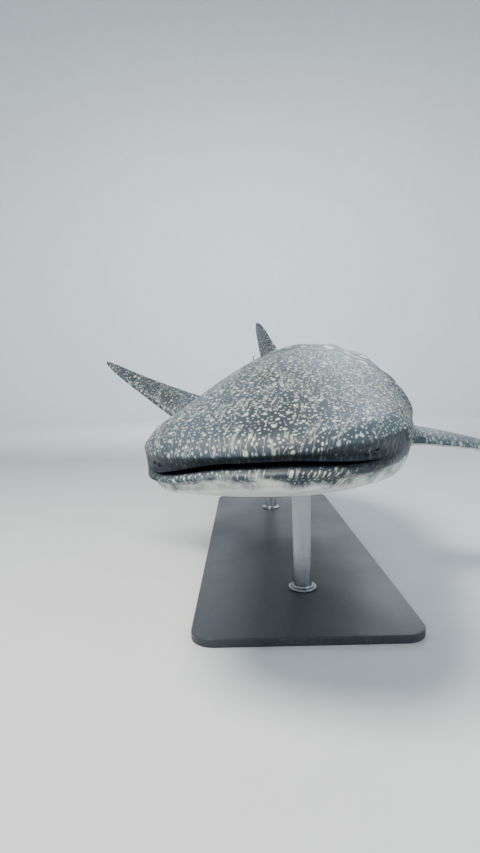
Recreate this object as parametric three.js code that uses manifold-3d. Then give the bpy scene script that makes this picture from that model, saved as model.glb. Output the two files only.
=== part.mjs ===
// A life-size whale shark, swimming level with its mouth almost shut, held over a flat base by two
// short rods. Millimetres, +Z up. The head points to -Y, so the shark's left side is +X.
// The origin is the centre of the base's underside.
import * as THREE from "three";
import { mergeVertices } from "three/addons/utils/BufferGeometryUtils.js";
import Module from "manifold-3d";

const wasm = await Module();
wasm.setup();

// Driving dimensions
const TOTAL_LENGTH = 6500;
const GAP = 0.3; // kept between neighbouring pieces
const DEG = Math.PI / 180;

// Body profile: fractions of the total length at a few stations from the snout, joined by a smooth curve.
const BACK_HEIGHT = [
  [0.0, 0.0078], [0.03, 0.0192], [0.06, 0.0292], [0.115, 0.0452], [0.16, 0.055], [0.22, 0.0655],
  [0.3, 0.0755], [0.38, 0.0805], [0.45, 0.0802], [0.52, 0.072], [0.6, 0.058], [0.68, 0.0445],
  [0.75, 0.0345], [0.8, 0.031],
];
const BELLY_DEPTH = [
  [0.0, 0.0165], [0.03, 0.0275], [0.06, 0.0375], [0.115, 0.053], [0.16, 0.063], [0.22, 0.0722],
  [0.3, 0.076], [0.38, 0.0722], [0.45, 0.0645], [0.52, 0.0542], [0.6, 0.0395], [0.68, 0.0275],
  [0.75, 0.02], [0.8, 0.0225],
];
const HALF_WIDTH = [
  [0.115, 0.0885], [0.16, 0.0918], [0.22, 0.0926], [0.3, 0.0856], [0.38, 0.0757], [0.45, 0.0655],
  [0.52, 0.0545], [0.6, 0.0415], [0.68, 0.03], [0.74, 0.022], [0.775, 0.0145], [0.8, 0.0058],
];

// Head: seen from above, its front is a broad arc round a centre this far behind the snout.
const DOME = 0.115 * TOTAL_LENGTH;
const FRONT_SQUARENESS = 2.8;
const HEAD_HALF_WIDTH = HALF_WIDTH[0][1] * TOTAL_LENGTH;
const LIP_RADIUS = 62;

// Mouth: a slit round the front of the head, below its widest line.
const MOUTH_ROW = 93.8; // place on the girth, in degrees from the back
const MOUTH_CORNER = 37; // degrees round from the snout
const MOUTH_GAPE = 22;
const MOUTH_DEPTH = 250;
const MOUTH_HOLLOW = 62; // height inside the lips
const CORNER_DROP = 46;

// Parting stations of the body, as fractions of the total length
const CUT_HEAD = 0.135;
const CUT_SHOULDER = 0.27;
const CUT_TRUNK = 0.42;
const CUT_FLANK = 0.6;
const TAIL_END = 0.8;
const JAW_LENGTH = 0.075 * TOTAL_LENGTH;

// Swimming bend and bank
const SNOUT = { x: -280, y: -2300, z: 1010 };
const YAW = { head: 14, trunk: 0, tail: -35, end: 25 };
const PITCH = { head: 4, trunk: -7.8, tail: -1.6 };
const BANK = { head: 3.2, trunk: 6, tail: -5 };

const smooth = (low, high, value) => {
  const t = Math.min(1, Math.max(0, (value - low) / (high - low)));
  return t * t * (3 - 2 * t);
};
const hump = (value, width) => Math.exp(-((value / width) ** 2));

// A curve through the stations, with slopes taken from each station's neighbours.
function profile(stations, fraction) {
  const last = stations.length - 1;
  const at = Math.min(last - 1, Math.max(0, stations.findIndex(([s]) => s > fraction) - 1));
  const i = fraction >= stations[last][0] ? last - 1 : at;
  const slope = (k) => {
    const a = stations[Math.max(0, k - 1)];
    const b = stations[Math.min(last, k + 1)];
    return (b[1] - a[1]) / (b[0] - a[0]);
  };
  const [s0, y0] = stations[i];
  const [s1, y1] = stations[i + 1];
  const h = s1 - s0;
  const t = Math.min(1, Math.max(0, (fraction - s0) / h));
  const a = (1 + 2 * t) * (1 - t) ** 2 * y0 + t * t * (3 - 2 * t) * y1;
  return a + t * (1 - t) ** 2 * h * slope(i) - t * t * (1 - t) * h * slope(i + 1);
}
const sized = (stations, s) => profile(stations, s / TOTAL_LENGTH) * TOTAL_LENGTH;

// Spine: the frame of each station, found by stepping along the body. Yaw, pitch and bank are in
// degrees; each entry after the head's is added on over its own stretch of the body.
const STEP = 25;
const spine = [];
{
  const at = new THREE.Vector3(SNOUT.x, SNOUT.y, SNOUT.z);
  for (let s = -STEP; s <= TOTAL_LENGTH * 1.02; s += STEP) {
    const f = s / TOTAL_LENGTH;
    const front = smooth(0.06, 0.24, f);
    const yaw = (YAW.head + YAW.trunk * front + YAW.tail * smooth(0.3, 0.46, f) +
      YAW.end * smooth(0.5, 0.7, f)) * DEG;
    const pitch = (PITCH.head + PITCH.trunk * smooth(0.1, 0.3, f) + PITCH.tail * smooth(0.3, 0.6, f)) * DEG;
    const bank = (BANK.head + BANK.trunk * smooth(0.1, 0.3, f) + BANK.tail * smooth(0.45, 0.75, f)) * DEG;
    const aft = new THREE.Vector3(
      Math.sin(yaw) * Math.cos(pitch), Math.cos(yaw) * Math.cos(pitch), Math.sin(pitch));
    const left = new THREE.Vector3().crossVectors(aft, new THREE.Vector3(0, 0, 1)).normalize();
    left.applyAxisAngle(aft, -bank);
    const up = new THREE.Vector3().crossVectors(left, aft).normalize();
    if (s > 0) at.addScaledVector(aft, STEP);
    spine.push({ at: at.clone(), aft, left, up });
  }
}
function frameAt(s) {
  const k = Math.min(spine.length - 2, Math.max(0, Math.floor(s / STEP) + 1));
  const t = s / STEP + 1 - k;
  const mix = (name) => spine[k][name].clone().lerp(spine[k + 1][name], t);
  return { at: mix("at"), aft: mix("aft"), left: mix("left"), up: mix("up") };
}
function place(s, x, z) {
  const frame = frameAt(Math.max(0, s));
  if (s < 0) frame.at.addScaledVector(frame.aft, s);
  return frame.at.addScaledVector(frame.left, x).addScaledVector(frame.up, z);
}

// Plan outline of the head's front: distance from the centre of the arc at each angle from the snout.
const rimDistance = (bearing) =>
  ((Math.abs(Math.sin(bearing)) / HEAD_HALF_WIDTH) ** FRONT_SQUARENESS +
    (Math.abs(Math.cos(bearing)) / DOME) ** FRONT_SQUARENESS) ** (-1 / FRONT_SQUARENESS);
const halfWidth = (s) =>
  s >= DOME
    ? sized(HALF_WIDTH, s)
    : HEAD_HALF_WIDTH *
      Math.max(0, 1 - ((DOME - s) / DOME) ** FRONT_SQUARENESS) ** (1 / FRONT_SQUARENESS);

// Height of the skin over the body's axis, at a place inside the plan outline. The back is a rounded
// gable and the belly is fuller. inset is the distance in from the rim.
function skinHeight(s, x, inset, isBack) {
  const f = s / TOTAL_LENGTH;
  const full = sized(isBack ? BACK_HEIGHT : BELLY_DEPTH, s);
  const trunk = smooth(0.1, 0.3, f);
  const rim = isBack
    ? BACK_HEIGHT[0][1] * TOTAL_LENGTH * (1 - trunk) + 0.3 * full * trunk
    : BELLY_DEPTH[0][1] * TOTAL_LENGTH * (1 - trunk) + 0.34 * full * trunk;
  const edge = Math.min(rim, full * 0.94);
  const width = Math.max(halfWidth(s), 1);
  const across = Math.min(1, Math.abs(x) / width);
  const [p, q] = isBack ? [1.8, 1.25] : [2.3, 1.5];
  const arch = (1 - across ** p) ** (1 / q);
  const round = LIP_RADIUS * (1 - trunk) + 0.5 * width * trunk;
  const inside = Math.min(1, Math.max(0, inset) / Math.min(round, width * 0.8));
  return (edge + (full - edge) * arch) * Math.sqrt(1 - (1 - inside) ** 2);
}

// Gills: five flaps a side, each swelling to its edge and dropping into the slit behind.
const GILLS = [0.15, 0.1665, 0.183, 0.1995, 0.219];
function gillRelief(f, row) {
  const window = smooth(52, 62, row) * (1 - smooth(112, 124, row));
  let relief = 0;
  for (const gill of GILLS) {
    const past = (f - gill) * TOTAL_LENGTH - (row - 85) * 0.5;
    if (past > -75 && past <= 0) relief += 13 * (1 + past / 75) ** 2;
    if (past > 0 && past < 45) relief += 13 - 27 * smooth(0, 7, past) + 14 * smooth(8, 45, past);
  }
  return relief * window;
}

// Ridges: a crest on the back and three ridges a side; the lowest runs on into the tail's keel.
const RIDGES = [
  { row: 0, height: 9, width: 5, from: [0.2, 0.3], to: [0.6, 0.7] },
  { row: 23, height: 15, width: 4.2, from: [0.19, 0.27], to: [0.62, 0.7] },
  { row: 42, height: 17, width: 4.2, from: [0.16, 0.24], to: [0.66, 0.74] },
  { row: 63, height: 18, width: 4.2, from: [0.25, 0.33], to: [0.9, 0.95] },
];
const KEEL = { from: 0.62, full: 0.73, height: 62, row: 88, width: 9 };
function ridgeRelief(f, row) {
  let relief = 0;
  RIDGES.forEach((ridge, i) => {
    const strength = smooth(...ridge.from, f) * (1 - smooth(...ridge.to, f));
    const drift = i === 3 ? (KEEL.row - ridge.row) * smooth(0.5, KEEL.full, f) : 0;
    relief += ridge.height * strength * hump(row - ridge.row - drift, ridge.width);
  });
  const keel = smooth(KEEL.from, KEEL.full, f) * (1 - smooth(0.775, 0.8, f));
  return relief + KEEL.height * keel * hump(row - KEEL.row, KEEL.width);
}

// A point of the skin on the trunk: row is 0 at the back and 180 at the belly; side is +1 on the left.
function trunkBase(s, row, side) {
  const width = halfWidth(s);
  const x = width * Math.sin(row * DEG);
  const isBack = row < 90;
  const z = skinHeight(s, x, width - x, isBack) * (isBack ? 1 : -1);
  return [s, side * x, z];
}
// The same on the front of the head: bearing is the angle from the snout, + on the left.
function domeBase(bearing, row) {
  const reach = rimDistance(bearing);
  const share = Math.sin(row * DEG);
  const s = DOME - reach * Math.cos(bearing) * share;
  const x = reach * Math.sin(bearing) * share;
  const isBack = row < 90;
  const z = skinHeight(s, x, reach * (1 - share), isBack) * (isBack ? 1 : -1);
  return [s, x, z];
}
const cross = (a, b) => [
  a[1] * b[2] - a[2] * b[1], a[2] * b[0] - a[0] * b[2], a[0] * b[1] - a[1] * b[0]];
const minus = (a, b) => a.map((v, i) => v - b[i]);
const moved = (a, n, by) => a.map((v, i) => v + n[i] * by);
const unit = (a) => a.map((v) => v / (Math.hypot(...a) || 1));

function trunkSkin(s, row, side, grow = 0) {
  const base = trunkBase(s, row, side);
  const step = 0.4;
  const along = minus(trunkBase(s + step, row, side), trunkBase(s - step, row, side));
  const round = minus(trunkBase(s, Math.min(180, row + step), side),
    trunkBase(s, Math.max(0, row - step), side));
  const out = unit(cross(along, round).map((v) => v * side));
  const f = s / TOTAL_LENGTH;
  return moved(base, out, ridgeRelief(f, row) + gillRelief(f, row) + grow);
}

// Lips: the skin turns in above and below the slit, swells at the lower lip and creases under it.
function domeSkin(bearing, row, grow = 0, part = 0) {
  const [s, x, z] = domeBase(bearing, row);
  const corner = MOUTH_CORNER * DEG;
  const turn = Math.abs(bearing);
  const open = turn < corner ? MOUTH_GAPE * (1 - (turn / corner) ** 3) : 0;
  const lips = 1 - smooth(corner * 0.92, corner * 1.3, turn);
  const [, , slit] = domeBase(bearing, MOUTH_ROW);
  const below = slit - z;
  const inward = below < 0
    ? 14 * hump(below, 16)
    : 14 * hump(below, 12) - 14 * hump(below - 32, 18) + 9 * hump(below - 66, 13);
  const drop = CORNER_DROP * smooth(corner * 0.2, corner, turn) * (1 - smooth(corner, corner * 1.7, turn));
  const isUpper = row < MOUTH_ROW || (row === MOUTH_ROW && part < 0);
  let lift = isUpper ? 0.3 * open * hump(below, 30) : -0.7 * open * Math.exp(-below / 90);
  lift -= drop * (isUpper ? smooth(-34, 0, below) : Math.exp(-below / 90));
  if (part === 0 && row === MOUTH_ROW) lift = -drop;
  const reach = Math.hypot(DOME - s, x) || 1;
  const flat = [-(DOME - s) / reach, x / reach, 0];
  const along = minus(domeBase(bearing + 0.002, row), domeBase(bearing - 0.002, row));
  const down = minus(domeBase(bearing, Math.min(180, row + 0.3)), domeBase(bearing, Math.max(0, row - 0.3)));
  const out = unit(cross(along, down));
  const skin = moved(moved([s, x, z + lift], flat, -inward * lips), out, grow);
  return skin;
}

// The lining of the mouth, from the upper lip's edge (0) to the lower one's (1).
function mouthLining(bearing, share) {
  const upper = domeSkin(bearing, MOUTH_ROW, 0, -1);
  const lower = domeSkin(bearing, MOUTH_ROW, 0, 1);
  const depth = MOUTH_DEPTH * Math.max(0, 1 - (bearing / (MOUTH_CORNER * DEG)) ** 2) ** 0.5;
  const [s, x] = domeBase(bearing, MOUTH_ROW);
  const reach = Math.hypot(DOME - s, x);
  const inwards = [(DOME - s) / reach, -x / reach, 0];
  const in01 = Math.sin(share * Math.PI);
  const hollow = (depth / MOUTH_DEPTH) * MOUTH_HOLLOW * 0.5 * Math.sin(share * 2 * Math.PI);
  const edge = upper.map((v, i) => v * (1 - share) + lower[i] * share);
  const point = moved(edge, inwards, depth * Math.sqrt(in01));
  return [point[0], point[1], point[2] + hollow];
}

// Rows round the girth: close together at the ridges, the keel and the lips.
const ROWS_BACK = [0, 6, 15, 19, 23, 27, 32, 38, 42, 46, 52, 59, 63, 67, 74, 80, 85, 88, 90, 92];
const ROWS_BELLY = [97, 99.5, 102.5, 106, 111, 119, 130, 145, 162, 180];
const ROWS = [...ROWS_BACK, MOUTH_ROW, ...ROWS_BELLY];
const LINING = [0.06, 0.2, 0.38, 0.5, 0.62, 0.8, 0.94];

// One closed ring of the trunk: down the left side and up the right.
function trunkRing(s, grow = 0) {
  const left = ROWS.map((row) => trunkSkin(s, row, 1, grow));
  const right = ROWS.slice(1, -1).reverse().map((row) => trunkSkin(s, row, -1, grow));
  return [...left, ...right].map((p) => place(...p));
}

// Stations: even on the plain trunk, closer at the gills, and one at each parting.
const MARKS = [CUT_HEAD, CUT_SHOULDER, CUT_TRUNK, CUT_FLANK];
for (const gill of GILLS) {
  MARKS.push(gill - 0.0062, gill - 0.0005, gill + 0.0011, gill + 0.0055);
}
for (let f = DOME / TOTAL_LENGTH; f < TAIL_END - 0.04; f += 0.022) {
  const isClose = MARKS.some((mark) => Math.abs(mark - f) < 0.006);
  if (!isClose) MARKS.push(f);
}
MARKS.push(0.772, 0.787);
MARKS.sort((a, b) => a - b);
function stations(from, to) {
  const inside = MARKS.filter((f) => f > from + 1e-4 && f < to - 1e-4);
  return [from, ...inside, to].map((f) => f * TOTAL_LENGTH);
}

// Triangles to a closed solid. Points that fall together are merged and flat triangles dropped.
function solidFrom(triangles) {
  const flat = new Float32Array(triangles.length * 9);
  triangles.forEach((t, i) => t.forEach((p, k) => flat.set([p.x, p.y, p.z], i * 9 + k * 3)));
  const soup = new THREE.BufferGeometry().setAttribute("position", new THREE.BufferAttribute(flat, 3));
  const merged = mergeVertices(soup, 0.02);
  const index = merged.index.array;
  const kept = [];
  for (let i = 0; i < index.length; i += 3) {
    const [a, b, c] = [index[i], index[i + 1], index[i + 2]];
    if (a !== b && b !== c && c !== a) kept.push(a, b, c);
  }
  const mesh = new wasm.Mesh({
    numProp: 3, vertProperties: merged.attributes.position.array, triVerts: new Uint32Array(kept)});
  const made = new wasm.Manifold(mesh);
  if (made.volume() >= 0) return made;
  for (let i = 0; i < kept.length; i += 3) [kept[i], kept[i + 1]] = [kept[i + 1], kept[i]];
  return new wasm.Manifold(new wasm.Mesh({
    numProp: 3, vertProperties: merged.attributes.position.array, triVerts: new Uint32Array(kept)}));
}
const largest = (solid) =>
  solid.decompose().sort((a, b) => b.volume() - a.volume())[0];

function band(triangles, ringA, ringB, closed = true) {
  const count = ringA.length;
  for (let i = 0; i < (closed ? count : count - 1); i += 1) {
    const j = (i + 1) % count;
    triangles.push([ringA[i], ringB[i], ringB[j]], [ringA[i], ringB[j], ringA[j]]);
  }
}
function cap(triangles, ring, isEnd) {
  const centre = ring.reduce((sum, p) => sum.add(p), new THREE.Vector3()).divideScalar(ring.length);
  ring.forEach((p, i) => {
    const q = ring[(i + 1) % ring.length];
    triangles.push(isEnd ? [centre, p, q].reverse() : [centre, p, q]);
  });
}
function loft(rings) {
  const triangles = [];
  cap(triangles, rings[0], false);
  for (let i = 1; i < rings.length; i += 1) band(triangles, rings[i - 1], rings[i]);
  cap(triangles, rings.at(-1), true);
  return solidFrom(triangles);
}

// A box that parts two pieces, set across the spine between two stations and two heights.
function block([s0, s1], half, [z0, z1]) {
  const ring = (s) => [[-half, z0], [half, z0], [half, z1], [-half, z1]].map(([x, z]) => place(s, x, z));
  return loft([ring(s0), ring(s1)]);
}

// A length of the trunk between two stations, kept half the gap clear of its neighbours.
const trunkLength = (from, to, grow = 0) =>
  loft(stations(from, to).map((s, i, all) =>
    trunkRing(s + (i === 0 ? GAP / 2 : i === all.length - 1 ? -GAP / 2 : 0), grow)));

// The head's front, with the mouth as a fold of the skin, joined to the rings behind it.
const BEARINGS = Array.from({ length: 37 }, (_, i) => (i - 18) * 5 * DEG);
function headSolid(to, grow = 0, hasMouth = true) {
  const triangles = [];
  const meridian = (bearing) => {
    const upper = ROWS_BACK.map((row) => domeSkin(bearing, row, grow));
    const lower = ROWS_BELLY.map((row) => domeSkin(bearing, row, grow));
    const isMouth = hasMouth && Math.abs(bearing) < MOUTH_CORNER * DEG - 1e-6;
    const plain = domeSkin(bearing, MOUTH_ROW, grow, 0);
    const fold = isMouth
      ? [domeSkin(bearing, MOUTH_ROW, grow, -1), ...LINING.map((share) => mouthLining(bearing, share)),
        domeSkin(bearing, MOUTH_ROW, grow, 1)]
      : Array(LINING.length + 2).fill(plain);
    const isSide = Math.abs(Math.abs(bearing) - Math.PI / 2) < 1e-6;
    const side = Math.sign(bearing);
    const points = isSide
      ? [...ROWS_BACK.map((row) => trunkSkin(DOME, row, side, grow)),
        ...Array(LINING.length + 2).fill(trunkSkin(DOME, MOUTH_ROW, side, grow)),
        ...ROWS_BELLY.map((row) => trunkSkin(DOME, row, side, grow))]
      : [...upper, ...fold, ...lower];
    points[0] = trunkSkin(DOME, 0, 1, grow);
    points[points.length - 1] = trunkSkin(DOME, 180, 1, grow);
    return points.map((p) => place(...p));
  };
  const meridians = BEARINGS.map(meridian);
  for (let i = 1; i < meridians.length; i += 1) band(triangles, meridians[i - 1], meridians[i], false);
  const rings = stations(DOME / TOTAL_LENGTH, to).map((s, i, all) =>
    trunkRing(i === all.length - 1 ? s + (hasMouth ? -GAP / 2 : GAP / 2) : s, grow));
  for (let i = 1; i < rings.length; i += 1) band(triangles, rings[i - 1], rings[i]);
  cap(triangles, rings.at(-1), true);
  return solidFrom(triangles);
}

const shoulder = trunkLength(CUT_HEAD, CUT_SHOULDER);
const trunk = trunkLength(CUT_SHOULDER, CUT_TRUNK);
const flank = trunkLength(CUT_TRUNK, CUT_FLANK);
const tail = trunkLength(CUT_FLANK, TAIL_END);

// Whole body a little larger, which everything that grows from it is cut back to.
const bodyGrown = [shoulder, trunk, flank, tail].reduce(
  (sum, piece) => sum.add(piece), headSolid(TAIL_END, 1.3 * GAP, false));

// Fins. In a fin's own frame: chord runs aft, span runs out from the body, and the section is a
// rounded foil. leading and trailing give the edges at each share of the span.
const FOIL_STATIONS = [0, 0.03, 0.11, 0.25, 0.45, 0.68, 0.88, 1];
const foil = (c) =>
  2.969 * Math.sqrt(c) - 1.26 * c - 3.516 * c ** 2 + 2.843 * c ** 3 - 1.036 * c ** 4;
const flareAt = (flare, height) => flare * (1 - Math.min(1, Math.max(0, height) / (2.2 * flare))) ** 3;
function finRings({ span, leading, trailing, thickness, droop = () => 0, shares, sink, flare, edge = 3.5 }) {
  return shares.map((share) => {
    const swell = (c) => flareAt(flare, share * span - sink[0] - (sink[1] - sink[0]) * c);
    const [le, te] = [leading(share) - swell(0), trailing(share) + 0.6 * swell(1)];
    const chord = te - le;
    const half = (c) => thickness(share) * foil(c) * 0.5 + (edge + swell(c)) * Math.min(1, c * 12);
    const upper = FOIL_STATIONS.map((c) => [le + c * chord, half(c)]);
    const lower = FOIL_STATIONS.slice(1).reverse().map((c) => [le + c * chord, -half(c)]);
    return [...upper, ...lower].map(([c, n]) => [c, share * span, n + droop(share)]);
  });
}
// Sets a fin on the body: s and the side and height of its root, with the span's lean in the
// cross-section (0 is straight left, 90 is up) and a turn about the span.
function setFin(rings, { s, x, z, lean, turn = 0, sweep = 0 }) {
  const { aft, left, up } = frameAt(s);
  const out = left.clone().multiplyScalar(Math.cos(lean)).addScaledVector(up, Math.sin(lean));
  out.addScaledVector(aft, Math.tan(sweep)).normalize();
  const chordwise = aft.clone().addScaledVector(out, -aft.dot(out)).normalize();
  chordwise.applyAxisAngle(out, turn);
  const face = new THREE.Vector3().crossVectors(out, chordwise);
  const root = place(s, x, z);
  return loft(rings.map((ring) => ring.map(([c, h, n]) =>
    root.clone().addScaledVector(chordwise, c).addScaledVector(out, h).addScaledVector(face, n))));
}
const fraction = (f) => f * TOTAL_LENGTH;
const tipRound = (share, from) =>
  share < from ? 1 : Math.sqrt(Math.max(0, 1 - ((share - from) / (1.004 - from)) ** 2));

// A fin whose edges close in on its tip, with a free lobe at the back of its base.
function finShape({ span, chord, tipAft, tipChord, bow, hollow, lobe, thick, from, rootIn, sink, flare }) {
  const middle = (v) => tipAft * v ** bow;
  const back = (v) => chord + (tipAft + tipChord - chord) * v ** hollow;
  const lead = (v) => (v < 0 ? middle(0.0) + v * span * 0.3 : middle(v));
  const trail = (v) => (v < 0 ? chord : back(v) + lobe * hump(v - 0.1, 0.07));
  const centre = (v) => lead(v) + (trail(v) - lead(v)) * 0.62;
  const leading = (v) => centre(v) + (lead(v) - centre(v)) * tipRound(v, from);
  const trailing = (v) => centre(v) + (trail(v) - centre(v)) * tipRound(v, from);
  const thickness = (v) => thick * (1 - 0.86 * Math.min(1, Math.max(0, v)) ** 0.8);
  const shares = [rootIn, 0, 0.05, 0.1, 0.15, 0.22, 0.33, 0.46, 0.6, 0.73, 0.84, 0.92, 0.97, 1];
  return { span, leading, trailing, thickness, shares, sink, flare };
}
const FIRST_DORSAL = finShape({
  span: fraction(0.073), chord: fraction(0.086), tipAft: fraction(0.062), tipChord: fraction(0.022),
  bow: 0.95, hollow: 1.6, lobe: fraction(0.013), thick: 74, from: 0.78, rootIn: -0.35,
  sink: [63, 6], flare: 40});
const SECOND_DORSAL = finShape({
  span: fraction(0.036), chord: fraction(0.045), tipAft: fraction(0.033), tipChord: fraction(0.014),
  bow: 0.9, hollow: 1.5, lobe: fraction(0.011), thick: 44, from: 0.75, rootIn: -0.4,
  sink: [60, 14], flare: 22});
const ANAL = finShape({
  span: fraction(0.035), chord: fraction(0.04), tipAft: fraction(0.034), tipChord: fraction(0.012),
  bow: 0.95, hollow: 1.5, lobe: fraction(0.01), thick: 40, from: 0.75, rootIn: -0.5,
  sink: [39, 13], flare: 20});
const PELVIC = finShape({
  span: fraction(0.042), chord: fraction(0.048), tipAft: fraction(0.032), tipChord: fraction(0.02),
  bow: 1.0, hollow: 1.3, lobe: fraction(0.01), thick: 44, from: 0.72, rootIn: -0.6,
  sink: [98, 42], flare: 24});
const PECTORAL = finShape({
  span: fraction(0.18), chord: fraction(0.08), tipAft: fraction(0.098), tipChord: fraction(0.009),
  bow: 1.12, hollow: 1.9, lobe: fraction(0.012), thick: 88, from: 0.9, rootIn: -0.16,
  sink: [178, 162], flare: 45});
const UPPER_LOBE = finShape({
  span: fraction(0.166), chord: fraction(0.07), tipAft: fraction(0.2), tipChord: fraction(0.012),
  bow: 1.04, hollow: 1.35, lobe: 0, thick: 74, from: 0.9, rootIn: -0.02,
  sink: [200, 180], flare: 20});
const LOWER_LOBE = finShape({
  span: fraction(0.105), chord: fraction(0.066), tipAft: fraction(0.082), tipChord: fraction(0.012),
  bow: 1.05, hollow: 1.7, lobe: 0, thick: 62, from: 0.86, rootIn: -0.02,
  sink: [154, 165], flare: 18});

const cutFin = (shape, at, others = []) => {
  let solid = setFin(finRings(shape), at).subtract(bodyGrown);
  others.forEach((other) => { solid = solid.subtract(other); });
  return largest(solid);
};
const heightAt = (f, share) => sized(BACK_HEIGHT, fraction(f)) * share;

const firstDorsal = cutFin(FIRST_DORSAL, {
  s: fraction(0.435), x: 0, z: heightAt(0.48, 0.93), lean: 90 * DEG});
const secondDorsal = cutFin(SECOND_DORSAL, {
  s: fraction(0.652), x: 0, z: heightAt(0.68, 0.9), lean: 90 * DEG});
const anal = cutFin(ANAL, {
  s: fraction(0.668), x: 0, z: -sized(BELLY_DEPTH, fraction(0.69)) * 0.85, lean: -90 * DEG});
const pelvics = [1, -1].map((side) => cutFin(PELVIC, {
  s: fraction(0.485), x: side * 150, z: -sized(BELLY_DEPTH, fraction(0.5)) * 0.74,
  lean: side > 0 ? -38 * DEG : 218 * DEG, sweep: 12 * DEG}));

const PECTORAL_S = 0.2;
const PECTORAL_LEAN = { left: -14 * DEG, right: 19.5 * DEG };
const pectoralLeft = cutFin({ ...PECTORAL, droop: (v) => -170 * Math.max(0, v) ** 2 }, {
  s: fraction(PECTORAL_S), x: 400, z: -190, lean: PECTORAL_LEAN.left, turn: 9 * DEG});
const pectoralRight = cutFin({ ...PECTORAL, droop: (v) => -30 * Math.max(0, v) ** 2 }, {
  s: fraction(PECTORAL_S), x: -400, z: -235, lean: Math.PI - PECTORAL_LEAN.right, turn: -33 * DEG,
  sweep: -6 * DEG});

const CAUDAL_S = 0.758;
const CAUDAL_PARTING = 20;
const caudalSpan = [fraction(0.7), fraction(1.05)];
const upperLobe = cutFin(UPPER_LOBE,
  { s: fraction(CAUDAL_S), x: 0, z: CAUDAL_PARTING, lean: 90 * DEG },
  [block(caudalSpan, 300, [-900, CAUDAL_PARTING + GAP / 2])]);
const lowerLobe = cutFin(LOWER_LOBE,
  { s: fraction(CAUDAL_S + 0.008), x: 0, z: CAUDAL_PARTING, lean: -90 * DEG },
  [block(caudalSpan, 300, [CAUDAL_PARTING - GAP / 2, 1700])]);

// Head and lower jaw, parted at the mouth and across the throat.
const headWhole = headSolid(CUT_HEAD);
const MOUTH_LINE = domeBase(0, MOUTH_ROW)[2] - 0.2 * MOUTH_GAPE;
const jawBlock = (grow) => block([-300, JAW_LENGTH + grow], 700, [-600, MOUTH_LINE + grow]);
let head = headWhole;

// Eyes: small, low on the side behind the corner of the mouth, in a raised ring of skin.
const EYE_RADIUS = 30;
const EYE_BEARING = 53 * DEG;
const EYE_ROW = 89;
function ball(centre, radius, flat = 1, axis = null, detail = [16, 10]) {
  const sphere = new THREE.SphereGeometry(radius, ...detail);
  if (axis) {
    sphere.scale(1, flat, 1);
    sphere.applyQuaternion(new THREE.Quaternion().setFromUnitVectors(new THREE.Vector3(0, 1, 0), axis));
  }
  sphere.translate(centre.x, centre.y, centre.z);
  const positions = sphere.attributes.position;
  const triangles = [];
  const at = (k) => new THREE.Vector3().fromBufferAttribute(positions, k);
  for (let i = 0; i < sphere.index.count; i += 3) {
    triangles.push([0, 1, 2].map((k) => at(sphere.index.array[i + k])));
  }
  return solidFrom(triangles);
}
function skinSpot(bearing, row, isTrunk = false) {
  const at = (b, r) => place(...(isTrunk ? trunkSkin(b, r, isTrunk) : domeSkin(b, r)));
  const step = isTrunk ? 6 : 0.01;
  const point = at(bearing, row);
  const along = at(bearing + step, row).sub(at(bearing - step, row));
  const down = at(bearing, row + 0.5).sub(at(bearing, row - 0.5));
  const out = new THREE.Vector3().crossVectors(down, along).normalize();
  const centre = place(DOME, 0, 0);
  if (out.dot(point.clone().sub(centre)) < 0) out.negate();
  return { point, out };
}
const eyes = [1, -1].map((side) => {
  const { point, out } = skinSpot(side * EYE_BEARING, EYE_ROW);
  const ring = new THREE.TorusGeometry(EYE_RADIUS, 9, 8, 20);
  ring.applyQuaternion(new THREE.Quaternion().setFromUnitVectors(new THREE.Vector3(0, 0, 1), out));
  const rim = point.clone().addScaledVector(out, -2);
  ring.translate(rim.x, rim.y, rim.z);
  const positions = ring.attributes.position;
  const triangles = [];
  for (let i = 0; i < ring.index.count; i += 3) {
    triangles.push([0, 1, 2].map((k) =>
      new THREE.Vector3().fromBufferAttribute(positions, ring.index.array[i + k])));
  }
  head = head.add(solidFrom(triangles));
  const centre = point.clone().addScaledVector(out, -EYE_RADIUS + 10);
  head = head.subtract(ball(centre, EYE_RADIUS + GAP + 0.4));
  return ball(centre, EYE_RADIUS);
});

// Spiracles: a small oval hole behind each eye.
const SPIRACLE_BEARING = 73 * DEG;
[1, -1].forEach((side) => {
  const { point, out } = skinSpot(side * SPIRACLE_BEARING, 86.5);
  head = head.subtract(ball(point, 21, 1.5, out, [12, 8]));
});

// Nostrils: a slot under the lip's edge near each corner of the mouth, with a short flap before it.
const NOSTRIL_BEARING = 33 * DEG;
[1, -1].forEach((side) => {
  const slot = skinSpot(side * (NOSTRIL_BEARING + 2.2 * DEG), 91.2);
  head = head.subtract(ball(slot.point, 9, 1.6, slot.out, [10, 8]));
  const flap = skinSpot(side * (NOSTRIL_BEARING - 1.2 * DEG), 91.6);
  const down = new THREE.Vector3(0, 0, -1);
  const centre = flap.point.clone().addScaledVector(flap.out, -1).addScaledVector(down, 4);
  head = head.add(ball(centre, 6, 2, down, [10, 8]));
});
const lowerJaw = largest(head.intersect(jawBlock(0)));
head = largest(head.subtract(jawBlock(GAP)));

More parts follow.
